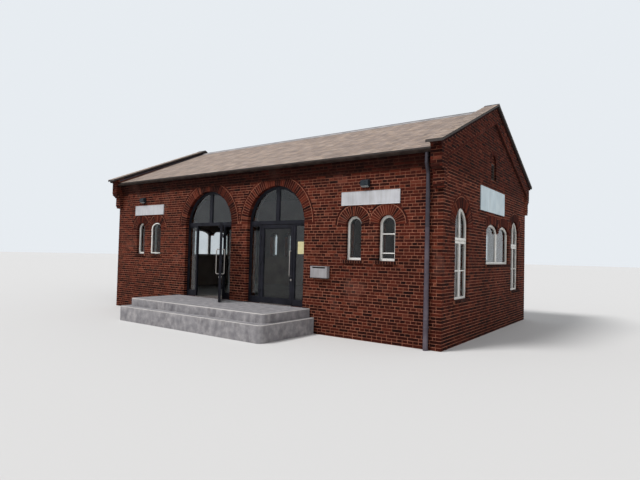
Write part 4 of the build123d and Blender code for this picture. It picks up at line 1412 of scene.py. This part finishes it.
def round_frame(name, half, foot, springing, rise, face, deep=FRAME_DEEP, putty=0.004):
    """A round-headed frame about x = 0, its front at y = 0."""
    sheet = disc_face(name, half, 64)
    edit_where(sheet, "FACE")
    bpy.ops.mesh.bisect(plane_co=(0, 0, 0), plane_no=(0, 0, 1), clear_inner=True)
    bpy.ops.mesh.select_all(action="SELECT")
    bpy.ops.transform.resize(value=(1, 1, rise / half), center_override=(0, 0, 0))
    bpy.ops.transform.translate(value=(0, 0, springing))
    leave_edit()
    edit_where(sheet, "EDGE", at_most(Z, springing))
    draw_out(0, 0, foot - springing)
    bpy.ops.mesh.select_all(action="SELECT")
    bpy.ops.mesh.dissolve_faces()
    leave_edit()
    return frame_from_face(sheet, face, deep, putty)


def straight_frame(name, low_x, high_x, low_z, high_z, face, deep, putty):
    """A rectangular frame, its front at y = 0."""
    sheet = started(name, bpy.ops.mesh.primitive_plane_add, (high_x - low_x, high_z - low_z, 1), size=1,
                    location=((low_x + high_x) / 2, 0, (low_z + high_z) / 2), rotation=FACING_FRONT)
    return frame_from_face(sheet, face, deep, putty)


def knuckles(x, y, heights):
    """Hinge knuckles one above the other."""
    return [swelled_post("knuckle", (x, y, z), 0.007, 0.05, 16, 0.00315, 0.0021) for z in heights]


print("frame tools ready")

# %% Model one small window, rim and casement
RIM_FACE, CASEMENT_INSET, CASEMENT_FACE = 0.02, 0.0203, 0.032
CASEMENT_HALF = WINDOW_HALF - CASEMENT_INSET

small_rim = round_frame("small_rim", WINDOW_HALF, WINDOW_SILL, WINDOW_SPRINGING, WINDOW_HALF, RIM_FACE)
sash = round_frame("sash", CASEMENT_HALF, WINDOW_SILL + CASEMENT_INSET, WINDOW_SPRINGING, CASEMENT_HALF,
                   CASEMENT_FACE, putty=0.005)
small_casement = join("small_casement", [sash] + knuckles(-CASEMENT_HALF, -0.003, (1.88, 2.26, 2.47)))
for pattern in (small_rim, small_casement):
    coat(pattern, chalky_paint)
print("faces in a casement:", len(small_casement.data.polygons))

# %% Set the small windows
OPEN_WINDOW, OPEN_TURN = -WINDOW_MIDDLES[0], math.radians(28)
WINDOW_FRONT = wall_half_depth - WINDOW_RECESS
BAR_HALF_LONG, BAR_HALF_HIGH = 0.15, 0.011

opened = shift(CASEMENT_HALF) @ swing(OPEN_TURN) @ shift(-CASEMENT_HALF)
for wall_name, yaw in LONG_WALLS:
    rims, casements = [], []
    for hole in small_windows:
        place = swing(yaw) @ shift(hole.middle, -WINDOW_FRONT)
        is_open = wall_name == "front" and abs(hole.middle - OPEN_WINDOW) < TOUCH
        rims.append(copied(small_rim, "rim", place))
        casements.append(copied(small_casement, "casement", place @ opened if is_open else place))
    shell_piece(join(wall_name + "_rims", rims), wall_name + "_window_rims")
    shell_piece(join(wall_name + "_casement_frames", casements), wall_name + "_casements")
discard(small_rim, small_casement)

# The last window on the right is divided by two glazing bars
middle = WINDOW_MIDDLES[1]
glazing_bars = join("glazing_bars", [
    worn_box("glazing_bar", (middle - BAR_HALF_LONG, -WINDOW_FRONT + 0.012, z - BAR_HALF_HIGH),
             (middle + BAR_HALF_LONG, -WINDOW_FRONT + 0.046, z + BAR_HALF_HIGH), 0.004)
    for z in (2.31, 1.9)])
shell_piece(coat(glazing_bars, chalky_paint))
print("small windows set:", 2 * len(small_windows))

# %% [markdown]
# ## Gable windows
#
# A tall window has a fixed light above and two casements below. Between them runs
# a transom: two white rails with a shadow gap. The double window has two low-headed
# lights. They are modelled as on the right gable, seen from outside, and mirrored for
# the left one.

# %% Model the gable windows
TALL_TOP = TALL_SPRINGING + TALL_HALF
TRANSOM_LOW, TRANSOM_HIGH = 2.1445, 2.2695
LOWER_RAIL, UPPER_RAIL = 0.046, 0.052
RAIL_HALF, SHADOW_HALF, BAR_BACK = 0.385, 0.37, 0.05
STILE_NEAR, STILE_FAR, POST_HALF, KNUCKLE_X = 0.0025, 0.031, 0.028, 0.362
GLAZING_LOW, GLAZING_HIGH = 1.549, 1.573


def tall_window(middle):
    """Frame, casements, transom, bars and hinges of one tall window."""
    # Of each bar: low and high x, front and back, low and high z, wear of its edges
    bars = [
        (-RAIL_HALF, RAIL_HALF, -0.006, BAR_BACK, TRANSOM_LOW, TRANSOM_LOW + LOWER_RAIL, 0.003),
        (-RAIL_HALF, RAIL_HALF, -0.008, BAR_BACK, TRANSOM_HIGH - UPPER_RAIL, TRANSOM_HIGH, 0.003),
        (-SHADOW_HALF, SHADOW_HALF, 0.022, BAR_BACK, TRANSOM_LOW + 0.03, TRANSOM_HIGH - 0.03, 0.002),
        (-POST_HALF, POST_HALF, -0.002, BAR_BACK, TRANSOM_HIGH - 0.01, TALL_TOP - 0.04, 0.004),
    ]
    pieces = [round_frame("tall_frame", TALL_HALF, TALL_SILL, TALL_SPRINGING, TALL_HALF, 0.05, putty=0.005)]
    for side in (-1, 1):
        near, far = sorted((side * STILE_NEAR, side * STILE_FAR))
        bars.append((near, far, -0.004, BAR_BACK, TALL_SILL + 0.045, TRANSOM_LOW + 0.01, 0.003))
        near, far = sorted((side * 0.03, side * SHADOW_HALF))
        bars.append((near, far, 0.01, 0.044, GLAZING_LOW, GLAZING_HIGH, 0.004))
        pieces += knuckles(side * KNUCKLE_X, -0.004, (1.12, 1.6, 2.04))
    for low_x, high_x, front, back, low_z, high_z, wear in bars:
        pieces.append(worn_box("bar", (low_x, front, low_z), (high_x, back, high_z), wear))
    return [turned(piece, shift(middle)) for piece in pieces]


def double_window(middle):
    """Two low-headed lights, each a rim with a casement in it."""
    pieces = []
    for side in (-1, 1):
        for inset, face, back in ((0.0, 0.028, 0.0), (0.0283, 0.03, 0.006)):
            frame = round_frame("lobe_frame", LOBE_HALF - inset, DOUBLE_SILL + inset, DOUBLE_SPRINGING,
                                LOBE_RISE - inset, face, FRAME_DEEP - back)
            pieces.append(turned(frame, shift(middle + side * LOBE_HALF, back)))
        pieces += knuckles(middle + side * (2 * LOBE_HALF - 0.03), 0.0, (1.85, 2.35))
    return pieces


print("functions for the gable windows ready")

# %% Set the gable windows
window_set = double_window(DOUBLE_MIDDLE)
for middle in TALL_MIDDLES:
    window_set += tall_window(middle)
right_frames = coat(join("right_gable_windows", window_set), chalky_paint)
turned(right_frames, swing(RIGHT) @ shift(y=-wall_half_length + GABLE_RECESS))
left_frames = copied(right_frames, "left_gable_windows", MIRROR_X)
shell_piece(right_frames, "right_gable_frames")
shell_piece(left_frames, "left_gable_frames")
print("faces in the gable windows:", len(right_frames.data.polygons))

# %% [markdown]
# ## Glass
#
# The panes are clear, faintly grey glass with a little unevenness, which breaks up
# reflections as old panes do. How much a pane mirrors follows from its index: the
# big panes of the portals mirror more than the small old ones.

# %% Glass
def old_glass(name, index):
    """Clear, faintly grey glass with the slight waves of old panes."""
    return wandering(name, 0.0, (2.2, 3), (0.60, 0.64, 0.65), (0.70, 0.73, 0.73), ((1.2, 1), 0.002, 0.12),
                     clear=1.0, index=index)


panes = [name for name in nodes if "pane" in name]
portal_panes = [name for name in panes if "portal" in name]
dress(panes, old_glass("window_glass", 1.3))
dress(portal_panes, old_glass("portal_glass", 1.42))
print("panes:", panes)

# %% [markdown]
# ## Portals and doors
#
# The portals are dark powder-coated metal. Thin glazing beads run round every light.
# A leaf's own pieces are modelled in the leaf's place, with its hinge line at x = 0,
# and then turned to where the leaf stands: the right leaf is shut, and the left one
# is a mirror image that stands open.

# %% Dark metal, steel and where the leaves stand
dark_metal = wandering("dark_metal", 0.45, (6, 5), (0.007, 0.007, 0.010), (0.016, 0.016, 0.022),
                       ((600, 2), 0.0002, 0.35), specular=0.1)
dress([name for name in nodes if name.endswith(("_fanlight", "_sidelights", "_door"))], dark_metal)
BRUSHED = (260, 3, (1, 1, 0.04))
brushed_steel = wandering("brushed_steel", 0.34, BRUSHED, (0.27, 0.25, 0.23), (0.42, 0.39, 0.36),
                          (BRUSHED, 0.0002, 0.4), metallic=1.0)
rubber_and_slot_shade = wandering("black_gasket", 0.7, (40, 4), (0.008, 0.008, 0.009), (0.02, 0.02, 0.022))

HINGE_X, HINGE_Y = 0.704, -3.264
LEAF_OPEN = math.radians(137)
LEAF_FRONT, LEAF_BACK = 0.014, 0.074
LEAF_PLACES = {
    "right": shift(HINGE_X, HINGE_Y),
    "left": shift(-HINGE_X, HINGE_Y) @ swing(LEAF_OPEN) @ MIRROR_X,
}


def set_leaf_piece(piece, name, replaced=None):
    """Puts a copy of a leaf's piece on both leaves."""
    for side, place in LEAF_PLACES.items():
        twin = copied(piece, side + "_" + name, place)
        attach(twin, side + "_leaf")
        if replaced:
            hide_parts(side + "_" + replaced)
    discard(piece)


def on_face(face_y, out, sunk=0.0):
    """Moves what faces the front onto the front face (out is -1) or back face (1) of a leaf or pane."""
    return shift(y=face_y) @ Matrix.Scale(-out, 4, (0, 1, 0)) @ shift(y=-sunk)


print("portal materials ready")

# %% Pull handles on the leaves
PULL_X, PULL_LOW, PULL_HIGH = 1.013, 1.29, 1.91
PULL_OUT, PULL_RADIUS, PULL_BEND = 0.07, 0.0125, 0.03
LOCK_Z = 1.2


def pull(face_y, out):
    """A round bar from the leaf's face out, up and back, with two round bends."""
    reach, angle = out * (PULL_OUT - PULL_BEND), -out * math.pi / 2
    lower, upper = PULL_LOW + PULL_BEND, PULL_HIGH - PULL_BEND
    grip = disc_face("pull", PULL_RADIUS, 20, (PULL_X, face_y, PULL_LOW))
    edit_where(grip, "FACE")
    draw_out(0, reach, 0)
    bpy.ops.mesh.spin(steps=6, angle=angle, center=(PULL_X, face_y + reach, lower), axis=(1, 0, 0))
    draw_out(0, 0, upper - lower)
    bpy.ops.mesh.spin(steps=6, angle=angle, center=(PULL_X, face_y + reach, upper), axis=(1, 0, 0))
    draw_out(0, -reach, 0)
    face_outward()
    return grip


def disc(x, y, z, radius, deep, wear):
    """A round plate that faces the front, its front edge worn."""
    plate = started("disc", bpy.ops.mesh.primitive_cylinder_add, vertices=24, radius=radius, depth=deep,
                    location=(x, y + deep / 2, z), rotation=FACING_FRONT)
    return bevel_where(plate, at_most(Y, y), wear, 2)


steelwork = []
for face_y, out in ((LEAF_FRONT, -1), (LEAF_BACK, 1)):
    plates = [disc(PULL_X, 0, z, 0.02, 0.004, 0.0015) for z in (PULL_LOW, PULL_HIGH)]
    plates.append(disc(PULL_X, -0.006, LOCK_Z, 0.026, 0.006, 0.002))
    plates.append(disc(PULL_X, -0.010, LOCK_Z, 0.0085, 0.005, 0.001))
    steelwork += [pull(face_y, out)] + [turned(plate, on_face(face_y, out)) for plate in plates]
pulls = coat(join("pulls", steelwork), brushed_steel)
shade_smooth(pulls, 35)
print("pulls and locks:", [round(value, 3) for value in pulls.dimensions])
set_leaf_piece(pulls, "pull_bars", "door_pulls")

# %% Beads, gaskets and closers on the leaves
LEAF_LIGHT = (0.089, 0.973, 0.72, 2.477)
PANE_FRONT, PANE_BACK = 0.039, 0.049
BEAD_WEAR = 0.0007
STRIPS = (("bead", 0.013, 0.012, dark_metal), ("gasket", 0.018, 0.002, rubber_and_slot_shade))
CLOSER_LOW, CLOSER_HIGH, CLOSER_OUT = 2.492, 2.55, 0.048


def bead_and_gasket(outline, front, back):
    """A metal bead and a thin black gasket on both sides of a pane; outline makes the flat frame."""
    pieces = []
    for face_y, out in ((front, -1), (back, 1)):
        for name, face, deep, material in STRIPS:
            pieces.append(coat(turned(outline(name, face, deep), on_face(face_y, out, deep)), material))
    return pieces


def straight_beads(light, front, back):
    """Beads and gaskets of a rectangular light: its low and high x, then its low and high z."""
    def outline(name, face, deep):
        return straight_frame(name, *light, face, deep, BEAD_WEAR)
    return bead_and_gasket(outline, front, back)


closer = worn_box("closer", (0.12, LEAF_BACK, CLOSER_LOW), (0.38, LEAF_BACK + CLOSER_OUT, CLOSER_HIGH), 0.006)
sink_where(closer, at_least(Y, LEAF_BACK + CLOSER_OUT), 0.006, (0, -0.002, 0))
glazing = straight_beads(LEAF_LIGHT, PANE_FRONT, PANE_BACK) + [coat(closer, dark_metal)]
set_leaf_piece(join("leaf_glazing", glazing), "leaf_glazing")
print("leaves glazed")

# %% Beads and gaskets on the fixed lights
FRAME_FRONT, FRAME_BACK = -3.25, -3.19
FIXED_FRONT, FIXED_BACK = -3.225, -3.215
PORTALS = (("right", PORTAL_MIDDLE), ("left", -PORTAL_MIDDLE))
FAN_HALF, FAN_FOOT, FAN_BAR_HALF = PORTAL_HALF - 0.055, 2.65, 0.055
SIDE_WIDE, SIDE_LOW, SIDE_HIGH = 0.295, 0.72, 2.54
DRIP_LOW, DRIP_HIGH, DRIP_OUT = 2.574, 2.582, 0.012


def fan_light(name, face, deep):
    """The outline of one half of a fanlight, at the right of its bar."""
    sheet = disc_face(name, FAN_HALF, 96, (0, 0, PORTAL_SPRINGING))
    for place, outward in (((0, 0, FAN_FOOT), (0, 0, 1)), ((FAN_BAR_HALF, 0, 0), (1, 0, 0))):
        edit_where(sheet, "FACE")
        bpy.ops.mesh.bisect(plane_co=place, plane_no=outward, clear_inner=True)
        leave_edit()
    return frame_from_face(sheet, face, deep, BEAD_WEAR)


for side, middle in PORTALS:
    pieces = []
    for low_x in (-FAN_HALF, FAN_HALF - SIDE_WIDE):
        pieces += straight_beads((low_x, low_x + SIDE_WIDE, SIDE_LOW, SIDE_HIGH), FIXED_FRONT, FIXED_BACK)
    half = bead_and_gasket(fan_light, FIXED_FRONT, FIXED_BACK)
    pieces += half + [copied(piece, "half", MIRROR_X) for piece in half]
    drip = worn_box("drip", (-FAN_HALF, FRAME_FRONT - DRIP_OUT, DRIP_LOW),
                    (FAN_HALF, FRAME_FRONT + 0.004, DRIP_HIGH))
    glazing = join(side + "_portal_glazing", pieces + [coat(drip, dark_metal)])
    shell_piece(turned(glazing, shift(middle)))
print("portals glazed")

# %% Thresholds and the notice sheet
SILL_HALF, SILL_REACH, SILL_LOW, SILL_TOP = 0.53, 0.03, 0.5702, 0.578

for side, middle in PORTALS:
    sill = worn_box(side + "_threshold", (middle - SILL_HALF, FRAME_FRONT - SILL_REACH, SILL_LOW),
                    (middle + SILL_HALF, FRAME_BACK + SILL_REACH, SILL_TOP), 0.003)
    sink_where(sill, at_least(Z, SILL_TOP), 0.012, (0, 0, -0.002))
    shell_piece(coat(sill, brushed_steel))

notice_paper = wandering("notice_paper", 0.6, (12, 5), (0.52, 0.46, 0.24), (0.60, 0.55, 0.32))
sheet = worn_box("notice_sheet", (1.89, FIXED_FRONT - 0.0014, 1.84),
                 (2.10, FIXED_FRONT - 0.0004, 2.14), 0.0003)
shell_piece(coat(sheet, notice_paper))
print("sheet:", [round(value, 3) for value in sheet.dimensions])

# %% [markdown]
# ## Boards, lamps and letterbox
#
# The three boards are bare: enamelled sheets with a folded edge, held by screws. The
# lamps are wedges with a lens underneath and cooling fins on top. The letterbox has a
# slot under its lid, with a black block at its back as painted shade, and a door with
# a key plate.

# %% Boards
FOLD, GROOVE, SUNK = 0.012, 0.002, 0.003
SCREW_IN_X, SCREW_IN_Z = 0.04, 0.035
BOARD_MIDDLE, BOARD_HALF = 3.95, 0.725


def enamel(name, low_color, high_color):
    """Faded enamel with rain streaks."""
    sheet = Finish(name, 0.35)
    faded = sheet.stain((3, 6), (0.3, low_color), (0.7, high_color))
    streaks = sheet.stain((22, 5, (1, 1, 0.08)), (0.35, (0.80, 0.78, 0.74)), (0.58, WHITE))
    sheet.color(sheet.shade(faded, (0.6, streaks)))
    sheet.bump((4, 3), 0.002, 0.2)
    return sheet.material


def board(name, low_x, high_x, low_z, high_z, thick, material, columns):
    """A board that faces the front with its back at y = 0: a folded edge, a sunk face and screws."""
    sheet = cube(name, (low_x, -thick, low_z), (high_x, 0, high_z))
    edit_where(sheet, "FACE", at_most(Y, -thick))
    bpy.ops.mesh.inset(thickness=FOLD)
    bpy.ops.mesh.inset(thickness=GROOVE)
    bpy.ops.transform.translate(value=(0, SUNK, 0))
    leave_edit()
    bevel_where(sheet, everywhere, 0.0012)
    pieces = [coat(sheet, material)]
    for column in range(columns):
        x = low_x + SCREW_IN_X + column * (high_x - low_x - 2 * SCREW_IN_X) / (columns - 1)
        for z in (low_z + SCREW_IN_Z, high_z - SCREW_IN_Z):
            pieces.append(coat(disc(x, -thick + 0.0005, z, 0.006, 0.004, 0.0015), brushed_steel))
    return join(name, pieces)


front_enamel = enamel("front_enamel", (0.38, 0.38, 0.40), (0.50, 0.50, 0.52))
low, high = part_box("front_signs")
boards = [board("board", middle - BOARD_HALF, middle + BOARD_HALF, low.z, high.z, high.y - low.y,
                front_enamel, 4)
          for middle in (-BOARD_MIDDLE, BOARD_MIDDLE)]
shell_piece(turned(join("front_boards", boards), shift(y=high.y)), "front_signs")

gable_enamel = enamel("gable_enamel", (0.40, 0.50, 0.55), (0.53, 0.63, 0.67))
low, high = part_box("gable_sign")
gable_board = board("gable_board", low.y, high.y, low.z, high.z, high.x - low.x, gable_enamel, 5)
shell_piece(turned(gable_board, shift(low.x) @ swing(RIGHT)), "gable_sign")
print("boards:", [round(value, 3) for value in gable_board.dimensions])

# %% Lamps over the front boards
LAMP_SLOPE, LAMP_HALF, BRACKET_DEEP = 0.0357, 0.1, 0.012
LENS_HALF, LENS_IN, LENS_UP = 0.086, 0.014, 0.006
FIRST_FIN, FIN_PITCH, FINS = -0.078, 0.026, 7
LAMP_MIDDLES = (3.85, -4.25)

lamp_paint = wandering("lamp_paint", 0.5, (25, 6), (0.010, 0.014, 0.018), (0.024, 0.031, 0.038),
                       ((160, 3), 0.0004, 0.5), specular=0.15)
lens_glass = wandering("lens_glass", 0.12, (70, 2, (1, 0.1, 1)), (0.42, 0.45, 0.45), (0.62, 0.65, 0.64),
                       spread=(0.4, 0.6), clear=0.5)

low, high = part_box("sign_lamps")
body = cube("lamp", (-LAMP_HALF, low.y, low.z), (LAMP_HALF, high.y - BRACKET_DEEP, high.z))
front = at_most(Y, low.y)
for edge, drop in ((at_most(Z, low.z), LAMP_SLOPE), (at_least(Z, high.z), -LAMP_SLOPE)):
    shift_where(body, "VERT", lambda corners: front(corners) and edge(corners), (0, 0, drop))
sink_where(body, at_most(Z, low.z + LAMP_SLOPE), 0.012, (0, 0, 0.006))
bevel_where(coat(body, lamp_paint), everywhere, 0.004, 2)

lens = cube("lens", (-LENS_HALF, low.y + LENS_IN, low.z + LENS_UP),
            (LENS_HALF, high.y - BRACKET_DEEP - 0.016, low.z + LENS_UP + 0.004))
shift_where(coat(lens, lens_glass), "VERT", at_most(Y, low.y + LENS_IN), (0, 0, LAMP_SLOPE * 0.66))
lamp_parts = [body, lens]
for step in range(FINS):
    x = FIRST_FIN + step * FIN_PITCH
    fin = worn_box("fin", (x - 0.002, low.y + 0.02, high.z - 0.045),
                   (x + 0.002, high.y - 0.014, high.z - 0.0005), 0.0008)
    shift_where(fin, "VERT", lambda corners: corners[0].y < low.y + 0.03 and corners[0].z > high.z - 0.02,
                (0, 0, -LAMP_SLOPE * 0.72))
    lamp_parts.append(coat(fin, lamp_paint))
bracket = worn_box("bracket", (-0.03, high.y - 0.014, low.z + 0.04), (0.03, high.y, high.z - 0.03), 0.003)
lamp = join("lamp", lamp_parts + [coat(bracket, lamp_paint)])
lamps = join("lamps", [copied(lamp, "lamp", shift(x)) for x in LAMP_MIDDLES])
discard(lamp)
shell_piece(lamps, "sign_lamps")
print("lamps:", [round(value, 3) for value in lamps.dimensions])

# %% Letterbox
LID_HIGH, SLOT_LOW, SLOT_TOP, CHEEK_WIDE = 0.016, 0.055, 0.01, 0.055
POST_IN, POST_BACK, POST_DROP = 0.004, 0.006, 0.05
DOOR_IN, DOOR_UP, DOOR_DROP, DOOR_THICK = 0.014, 0.012, 0.062, 0.010

box_enamel = enamel("box_enamel", (0.21, 0.20, 0.21), (0.30, 0.285, 0.295))
low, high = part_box("letterbox")
painted = [
    worn_box("post", (low.x + POST_IN, low.y + POST_BACK, low.z),
             (high.x - POST_IN, high.y, high.z - POST_DROP), 0.006),
    worn_box("door", (low.x + DOOR_IN, low.y + 0.001, low.z + DOOR_UP),
             (high.x - DOOR_IN, low.y + DOOR_THICK, high.z - DOOR_DROP), 0.003),
    worn_box("lid", (low.x, low.y, high.z - LID_HIGH), (high.x, high.y, high.z), 0.005),
]
for x in (low.x + POST_IN, high.x - POST_IN - CHEEK_WIDE):
    painted.append(worn_box("cheek", (x, low.y + POST_BACK, high.z - 0.056),
                            (x + CHEEK_WIDE, high.y, high.z - SLOT_TOP)))
for piece in painted:
    coat(piece, box_enamel)
# Painted shade: a black block at the back of the slot, where the box's inside would be dark.
slot_shade = cube("slot", (low.x + 0.01, low.y + 0.035, high.z - SLOT_LOW),
                 (high.x - 0.01, high.y, high.z - SLOT_TOP))
key = disc(high.x - 0.05, low.y + 0.0005, low.z + 0.12, 0.009, 0.004, 0.001)
letter_box = join("letter_box", painted + [coat(slot_shade, rubber_and_slot_shade), coat(key, brushed_steel)])
shell_piece(letter_box, "letterbox")
print("letterbox:", [round(value, 3) for value in letter_box.dimensions])

# %% [markdown]
# ## Landing, floor and vents
#
# The landing is two slabs of cast concrete, one on the other. Their front corners are
# round, their top edges are pale, partly worn and partly a painted highlight where
# light catches them, and the risers are streaked where water runs down them. The
# material tells risers, tops and edges apart by how far the surface faces up. The
# floor inside is a screed with pale chips.

# %% Landing
CORNER_ROUND, EDGE_WEAR = 0.12, 0.014

cast = Finish("cast_concrete", 0.85)
body = cast.stain(
    (7.0, 9),
    (0.3, (0.150, 0.143, 0.152)),
    (0.5, (0.205, 0.195, 0.202)),
    (0.72, (0.29, 0.275, 0.275)),
)
runs = cast.stain((9, 7, (1, 1, 0.45)), (0.36, (0.62, 0.60, 0.61)), (0.52, WHITE), (0.72, (1.28, 1.25, 1.22)))
where = cast.stain((1.1, 4), (0.4, (0.2, 0.2, 0.2)), (0.6, (0.75, 0.75, 0.75)))
upward = cast.facing(Z)
flat = cast.ramp(upward, (0.8, BLACK), (0.98, WHITE))
# Pale top edges: wear, and a painted highlight where light catches them.
worn_and_lit_edges = cast.ramp(upward, (0.1, BLACK), (0.4, WHITE), (0.85, WHITE), (0.99, BLACK))
shaped = cast.blend("MIX", flat, cast.shade(body, (where, runs)), body)
edge = cast.blend("MIX", worn_and_lit_edges, shaped, (0.50, 0.47, 0.44))
pits = cast.stain((120, 4), (0.32, (0.55, 0.54, 0.54)), (0.42, WHITE))
cast.color(cast.shade(edge, (0.7, pits)))
cast.bump((70, 8), 0.003, 0.7)

for node in ("landing_slab", "landing_step"):
    low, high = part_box(node)
    slab = cube(node.replace("landing", "cast"), low, high)
    front, top, back = at_most(Y, low.y), at_least(Z, high.z), at_least(Y, high.y)
    bevel_where(slab, lambda corners: front(corners) and abs(corners[0].x - corners[1].x) < TOUCH,
                CORNER_ROUND, 8)
    bevel_where(slab, lambda corners: top(corners) and not back(corners), EDGE_WEAR, 3)
    shade_smooth(coat(slab, cast.material), 30)
    shell_piece(slab, node)
print("landing slabs cast")

# %% Floor and vents
screed = Finish("floor_screed", 0.55)
sand = screed.stain((2.2, 7), (0.3, (0.10, 0.09, 0.085)), (0.7, (0.17, 0.155, 0.14)))
chips = add_node(screed.tree, "ShaderNodeTexVoronoi", Vector=screed.place(), Scale=110.0).outputs["Distance"]
speck = screed.ramp(chips, (0.15, (1.5, 1.45, 1.4)), (0.4, WHITE))
screed.color(screed.shade(sand, (0.6, speck)))
screed.bump((60, 4), 0.0008, 0.4)
dress(["floor_slab"], screed.material)

TIMBER_GRAIN = (25, 6, (1, 0.2, 1))
vent_timber = wandering("vent_timber", 0.8, TIMBER_GRAIN, (0.016, 0.010, 0.009), (0.050, 0.032, 0.026),
                        (TIMBER_GRAIN, 0.001, 0.6))
dress(["gable_vents"], vent_timber)
print("floor and vents dressed")

# %% [markdown]
# ## Studio floor, light and camera
#
# The building stands on a plain pale floor. The light is one broad high lamp, a weak
# one from the side and a pale sky all round, at a level where a colour renders about
# as it is written. The camera stands where the photographer stood: its place, turn
# and lens were worked out from the brick courses and the lines of both walls.

# %% Floor and sky
floor = started("studio_floor", bpy.ops.mesh.primitive_plane_add, size=400, location=(0, 0, -0.002))
pale_floor = Finish("pale_floor", 0.9)
pale_floor.color((0.55, 0.54, 0.53))
coat(floor, pale_floor.material)

world = bpy.data.worlds.new("studio")
bpy.context.scene.world = world
world.use_nodes = True
tree = world.node_tree
light_sky = tree.nodes["Background"]
feed(tree, light_sky.inputs["Color"], (0.93, 0.96, 1.0))
feed(tree, light_sky.inputs["Strength"], 0.55)
seen_sky = add_node(tree, "ShaderNodeBackground", Color=(0.80, 0.84, 0.88), Strength=1.0)
rays = tree.nodes.new("ShaderNodeLightPath").outputs
seen = rays["Is Camera Ray"]
for kind in ("Is Glossy Ray", "Is Transmission Ray"):
    either = add_node(tree, "ShaderNodeMath", operation="MAXIMUM")
    feed(tree, either.inputs[0], seen)
    feed(tree, either.inputs[1], rays[kind])
    seen = either.outputs[0]
sky = add_node(tree, "ShaderNodeMixShader", Fac=seen)
feed(tree, sky.inputs[1], light_sky.outputs[0])
feed(tree, sky.inputs[2], seen_sky.outputs[0])
feed(tree, tree.nodes["World Output"].inputs["Surface"], sky.outputs[0])
print("floor and sky ready")

# %% Lamps
def soft_sun(name, toward, strength, width):
    """A sun lamp with a wide face, so its shadows are soft. It shines from the given direction.

    Rays that have passed a pane don't look for it, which keeps the dim room free of grain.
    """
    bpy.ops.object.light_add(type="SUN", location=(0, 0, 12))
    sun = bpy.context.object
    sun.name = name
    sun.data.energy = strength
    sun.data.angle = math.radians(width)
    sun.visible_transmission = False
    sun.rotation_euler = Vector(toward).to_track_quat("Z", "Y").to_euler()


soft_sun("high_lamp", (-0.30, -0.52, 0.80), 3.0, 18)
soft_sun("side_lamp", (0.80, -0.35, 0.45), 0.6, 50)
print("lamps ready")

# %% Camera
EYE = (9.164, -12.394, 1.832)
YAW, PITCH, ROLL = 35.81, 1.765, 1.404
FOCAL_PIXELS, PHOTO_WIDTH, SENSOR = 480.84, 640, 36

bpy.ops.object.camera_add()
camera = bpy.context.object
camera.matrix_world = (
    Matrix.Translation(EYE)
    @ Matrix.Rotation(math.radians(YAW), 4, "Z")
    @ Matrix.Rotation(math.radians(90 + PITCH), 4, "X")
    @ Matrix.Rotation(math.radians(ROLL), 4, "Z")
)
camera.data.sensor_width = SENSOR
camera.data.lens = FOCAL_PIXELS / PHOTO_WIDTH * SENSOR
camera.data.clip_end = 500
bpy.context.scene.camera = camera
bpy.context.scene.view_settings.view_transform = "Standard"
print("lens in mm:", round(camera.data.lens, 2))

# %% [markdown]
# ## Patterns away
#
# The brick models were only patterns, so they go.

# %% Finish
discard(*patterns)
